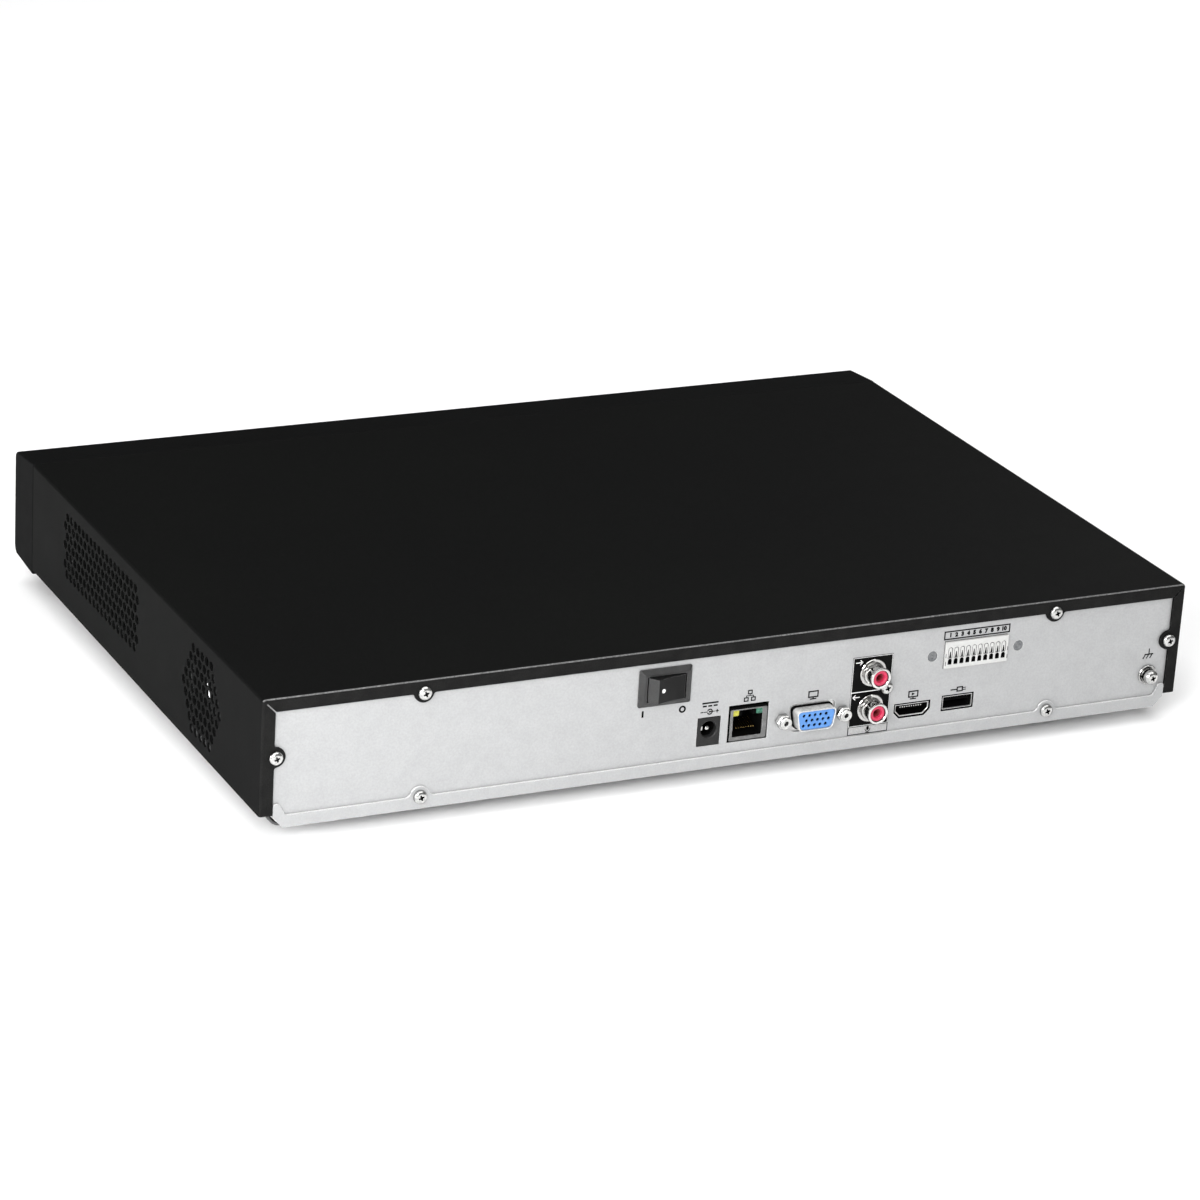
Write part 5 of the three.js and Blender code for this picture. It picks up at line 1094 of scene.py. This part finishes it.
def build_terminal():
    (x0, x1), (y0, y1), (z0, z1) = span("terminal_block")
    body = box((x0, x1), (y0, y1), (z0, z1), 0.25)
    cutters, entry_shades = [], []
    for way in range(1, 11):
        lever = span(f"terminal_lever_{way}")
        x = middle(lever[0])
        cutters.append(prism(arch(x, lever[2][0] - 0.2, lever[2][1] + 0.25, 0.95), lever[1][0] - 1.4, y1 + 1))
        cutters.append(prism(arch(x, z0 + 1.6, z0 + 4.0, 0.85), y1 - 8, y1 + 1))
        paddle = bevelled(prism(arch(x, lever[2][0], lever[2][1], 0.75), lever[1][0], lever[1][1]), 0.12)
        foot, crown, front = lever[2][0], lever[2][1] - 1.5, lever[1][1]
        wedge = [(x - 0.5, foot - 0.1), (x + 0.5, foot - 0.1), (x + 0.16, crown), (x - 0.16, crown)]
        piece(
            f"lever_{way}_paddle", carve(paddle, prism(wedge, front - 0.9, front + 1)), "white",
            body=f"lever_{way}", replaces=[f"terminal_lever_{way}"],
        )
        # painted shade: a black inlay sunk in each lever's groove
        low, high = foot + 0.1, crown - 0.05
        lever_shade_inlay = [(x - 0.46, low), (x + 0.46, low), (x + 0.14, high), (x - 0.14, high)]
        lever_shade_inlay = prism(lever_shade_inlay, front - 0.85, front - 0.12)
        piece(f"lever_{way}_groove_shade", lever_shade_inlay, "deep_black", body=f"lever_{way}")
        # painted shade: black linings behind each wire entry
        outer, inner = arch(x, z0 + 1.62, z0 + 3.98, 0.83), arch(x, z0 + 1.8, z0 + 3.8, 0.62)
        entry_shades.append(frame_loop(outer, inner, y1 - 7, y1 - 0.1))
        entry_shades.append(prism(arch(x, z0 + 1.7, z0 + 3.9, 0.78), y1 - 7.5, y1 - 2.2))
    ends = [
        box(about(u, 0.15), (y1 - 0.6, y1 + 1), (z, z + 1.6))
        for u in (x0 + 0.25, x1 - 0.25) for z in (z0 + 1.2, z0 + 4.4)
    ]
    piece("terminal_housing", carve(body, *cutters, *ends), "white", replaces=["terminal_block"])
    piece("terminal_entry_shade", merge(*entry_shades), "deep_black")


# ---------------------------------------------------------------- printed marks

PRINT = 0.05  # thickness of the ink that stands on the panel


class Ink:
    """Flat printed shapes on the rear panel, gathered into one mesh."""

    def __init__(self, face):
        self.y0, self.y1, self.shapes = face + 0.01, face + 0.01 + PRINT, []

    def fill(self, outline):
        self.shapes.append(prism(outline, self.y0, self.y1))

    def patch(self, x, z):
        self.fill([(x[0], z[0]), (x[1], z[0]), (x[1], z[1]), (x[0], z[1])])

    def bar(self, x0, z0, x1, z1, width=0.35):
        a, b = Vector((x0, z0)), Vector((x1, z1))
        along = (b - a).normalized() * width / 2
        across = Vector((-along.y, along.x))
        a, b = a - along, b + along
        self.fill([tuple(a + across), tuple(b + across), tuple(b - across), tuple(a - across)])

    def path(self, points, width=0.35, close=False):
        run = points + points[:1] if close else points
        for (x0, z0), (x1, z1) in zip(run, run[1:]):
            self.bar(x0, z0, x1, z1, width)

    def frame(self, x, z, width):
        self.path([(x[0], z[0]), (x[1], z[0]), (x[1], z[1]), (x[0], z[1])], width, True)

    def ring(self, x, z, radius, width=0.35, start=0, end=360):
        steps = 28
        turns = [math.radians(start + (end - start) * k / steps) for k in range(steps + 1)]
        self.path([(x + radius * math.cos(a), z + radius * math.sin(a)) for a in turns], width)

    def dot(self, x, z, radius):
        turns = [math.radians(20 * k) for k in range(18)]
        self.fill([(x + radius * math.cos(a), z + radius * math.sin(a)) for a in turns])

    def digits(self, text, x, z, height):
        curve = bpy.data.curves.new("digits", "FONT")
        curve.body, curve.size, curve.extrude = text, height * 1.35 * MM, PRINT / 2 * MM
        curve.offset = 0.00016
        curve.align_x, curve.align_y = "CENTER", "CENTER"
        holder = bpy.data.objects.new("digits", curve)
        SCENE.collection.objects.link(holder)
        mesh = bpy.data.meshes.new_from_object(holder.evaluated_get(bpy.context.evaluated_depsgraph_get()))
        bpy.data.objects.remove(holder)
        level = (self.y0 + self.y1) / 2 * MM
        mesh.transform(Matrix(((-1, 0, 0, x * MM), (0, 0, 1, level), (0, 1, 0, z * MM), (0, 0, 0, 1))))
        self.shapes.append(mesh)

    def done(self, name, look, slot="socket_black"):
        piece(name, merge(*self.shapes), look, slot=slot)


def build_marks():
    ink = Ink(PANEL)
    # on and off, under the two ends of the rocker
    rocker = span("rocker_frame")
    low = rocker[2][0] - 2.9
    ink.bar(rocker[0][1] - 2.4, low - 0.9, rocker[0][1] - 2.4, low + 0.9, 0.75)
    ink.ring(rocker[0][0] + 2.6, low, 1.05, 0.62)
    # direct current and polarity, over the power inlet
    dc = span("dc_jack_body")
    x, z = middle(dc[0]), dc[2][1] + 5.1
    ink.bar(x - 3.0, z + 0.7, x + 3.0, z + 0.7, 0.6)
    for k in (-1, 0, 1):
        ink.bar(x + 2.2 * k - 0.5, z - 0.5, x + 2.2 * k + 0.5, z - 0.5, 0.6)
    z = dc[2][1] + 2.3
    ink.ring(x, z, 0.95, 0.42, 35, 325)
    ink.dot(x, z, 0.38)
    ink.bar(x + 1.0, z, x + 2.3, z, 0.32)
    ink.bar(x - 0.2, z, x - 1.9, z, 0.32)
    ink.bar(x + 2.8, z, x + 3.6, z, 0.36)
    ink.bar(x - 2.5, z, x - 3.5, z, 0.36)
    ink.bar(x - 3.0, z - 0.5, x - 3.0, z + 0.5, 0.36)
    # three linked machines, over the network socket
    lan = span("lan_shell")
    x, z = middle(lan[0]), lan[2][1] + 4.4
    for u, v in ((0, 1.6), (-1.45, -1.2), (1.45, -1.2)):
        ink.frame(about(x + u, 0.75), about(z + v, 0.65), 0.42)
    ink.bar(x - 1.45, z + 0.2, x + 1.45, z + 0.2, 0.28)
    ink.bar(x, z + 0.2, x, z + 0.9, 0.28)
    for u in (-1.45, 1.45):
        ink.bar(x + u, z + 0.2, x + u, z - 0.5, 0.28)
    # a monitor, over the display socket and the video port
    for node, lift in (("vga_insert", 4.6), ("video_port_shell", 3.0)):
        part = span(node)
        x, z = middle(part[0]), part[2][1] + lift
        ink.frame(about(x, 1.9), (z - 0.55, z + 1.65), 0.5)
        ink.bar(x, z - 0.6, x, z - 1.15, 0.5)
        ink.bar(x - 1.1, z - 1.35, x + 1.1, z - 1.35, 0.45)
        if node == "video_port_shell":
            ink.fill([(x + 0.65, z - 0.05), (x + 0.65, z + 1.15), (x - 0.75, z + 0.55)])
    # a plug and its lead, over the serial port
    usb = span("usb_rear_shell")
    x, z = middle(usb[0]), usb[2][1] + 2.2
    ink.bar(x + 3.2, z, x + 0.6, z, 0.45)
    ink.frame((x + 0.6, x - 1.6), about(z, 0.8), 0.48)
    ink.bar(x - 2.0, z - 0.4, x - 3.0, z - 0.4, 0.3)
    ink.bar(x - 2.0, z + 0.4, x - 3.0, z + 0.4, 0.3)
    # numbered ways, in a box over the terminals
    block = span("terminal_block")
    low, high = block[2][1] + 0.9, block[2][1] + 3.9
    ink.frame((block[0][0] - 0.4, block[0][1] + 0.5), (low, high), 0.5)
    for way in range(1, 11):
        ink.digits(str(way), middle(span(f"terminal_lever_{way}")[0]), middle((low, high)), 1.6)
    # chassis ground, over the ground screw
    ground = span("ground_screw")
    x, z = middle(ground[0]), ground[2][1] + 4.3
    ink.bar(x, z, x, z + 2.1, 0.42)
    ink.bar(x - 1.7, z, x + 1.7, z, 0.5)
    for u in (-1.5, 0, 1.5):
        ink.bar(x + u, z, x + u + 0.9, z - 1.5, 0.42)
    ink.done("panel_print", "ink")

    # the black field round the audio jacks, with its light border, arrows and box
    screw = span("audio_screw")
    x0, x1, z0, z1, foot = middle(screw[0]) - 2.0, -45.35, 11.6, 42.75, 15.1
    field = Ink(PANEL)
    field.patch((x0, x1), (z0, z1))
    field.done("audio_field", "ink")
    light = Ink(PANEL + PRINT + 0.01)
    split = screw[2][0] + 2.0
    light.frame((x0 + 0.25, x1 - 0.25), (foot, z1 - 0.3), 0.16)
    light.bar(x0 + 0.3, split, x1 - 0.3, split, 0.3)
    for top, way in ((z1 - 2.2, 1), (split - 2.0, -1)):
        x = x1 - 2.6
        light.bar(x - 1.2, top, x + 1.2, top, 0.35)
        tip = x - way * 1.5
        light.path([(tip + way * 0.9, top + 0.8), (tip, top), (tip + way * 0.9, top - 0.8)], 0.35)
    light.done("audio_lines", "white_ink")
    strip = Ink(PANEL + PRINT + 0.01)
    strip.patch((x0 + 0.35, x1 - 0.35), (z0 + 0.35, foot - 0.4))
    strip.done("audio_strip", "print_grey")
    mark = Ink(PANEL + 2 * (PRINT + 0.01))
    x, z = (x0 + x1) / 2, middle((z0, foot))
    mark.fill(rounded(about(x, 0.55), (z - 0.35, z + 1.25), 0.5, 4))
    mark.ring(x, z + 0.15, 1.0, 0.24, 180, 360)
    mark.bar(x, z - 0.85, x, z - 1.15, 0.26)
    mark.bar(x - 0.7, z - 1.25, x + 0.7, z - 1.25, 0.24)
    mark.done("audio_mark", "ink")


# ---------------------------------------------------------------- inside


def build_inside():
    for node in ("main_board", "alarm_board", "front_board"):
        dress(node, "board", 0.1)
    for node in ("heat_sink", "hard_drive_1", "hard_drive_2"):
        dress(node, "shade_dark_casting", 0.2)
    for node in ("fan_frame", "fan_rotor"):
        dress(node, "black", 0.15)
    (x0, x1), (y0, _), (_, top) = span("main_board")
    sink = span("heat_sink")
    chips, metals = [box(grown(sink[0], -6), grown(sink[1], -6), (top + 0.1, top + 1.55), 0.1)], []
    for k in range(9):
        x = x0 + 12 + k * (x1 - x0 - 24) / 8
        chips.append(box(about(x, 4), (y0 + 5, y0 + 12), (top + 0.1, top + 1.3), 0.15))
        for pin in range(6):
            u = x - 3 + pin * 1.2
            metals.append(box(about(u, 0.25), (y0 + 4, y0 + 13), (top + 0.1, top + 0.35)))
    for k in range(5):
        x = x0 + 20 + k * 7
        can = turned(lathe(0, 0, [(2.4, 0), (2.5, 0.3), (2.5, 6.4), (2.3, 7)], 20), 90, "X", (0, 0, 0))
        metals.append(moved(can, x, y0 + 24, top + 0.1))
    piece("board_chips", merge(*chips), "black", slot="board_green")
    piece("board_metals", merge(*metals), "stamped", slot="board_green")
    # a glowing white label on the hub: painted glints seen through the fan vent
    rotor = span("fan_rotor")
    y, z = middle(rotor[1]), middle(rotor[2])
    hub = rotor[0][1]
    outline = rounded((y - 7.6, y - 4.4), (z - 2.6, z + 2.2), 0.5)
    label = bevelled(prism(outline, hub + 0.02, hub + 0.12), 0.03)
    piece("fan_glint_sticker", turned_to_x(label), "glowing_paper", body="fan", slot="fan_plastic")


# ---------------------------------------------------------------- build

camera()
studio()
LOOKS = {look: surface(name, *body, **extra) for look, (name, _, *body, extra) in FINISHES.items()}
build_cover()
build_bezel()
build_feet()
dress("bottom_chassis", "steel", 0.08)
chassis = NODES["bottom_chassis"].data
for look in ("lip_edge_highlight", "shaded_inside_steel"):
    chassis.materials.append(LOOKS[look])
for face in chassis.polygons:
    if face.normal.z > 0.5 and face.center.y > PANEL * MM:
        face.material_index = 1  # painted highlight on the rear lip's up-facing top edge, over its bare sheared steel
    elif face.center.z > INSIDE_FLOOR * MM and face.center.y < PANEL_BACK * MM:
        face.material_index = 2  # the inside, painted dark as the shade within the closed case
dress("rear_panel", "steel", 0.06)
build_screws()
build_studs()
build_rocker()
build_power()
build_network()
build_display()
build_audio()
build_video()
build_serial()
build_terminal()
build_marks()
build_inside()
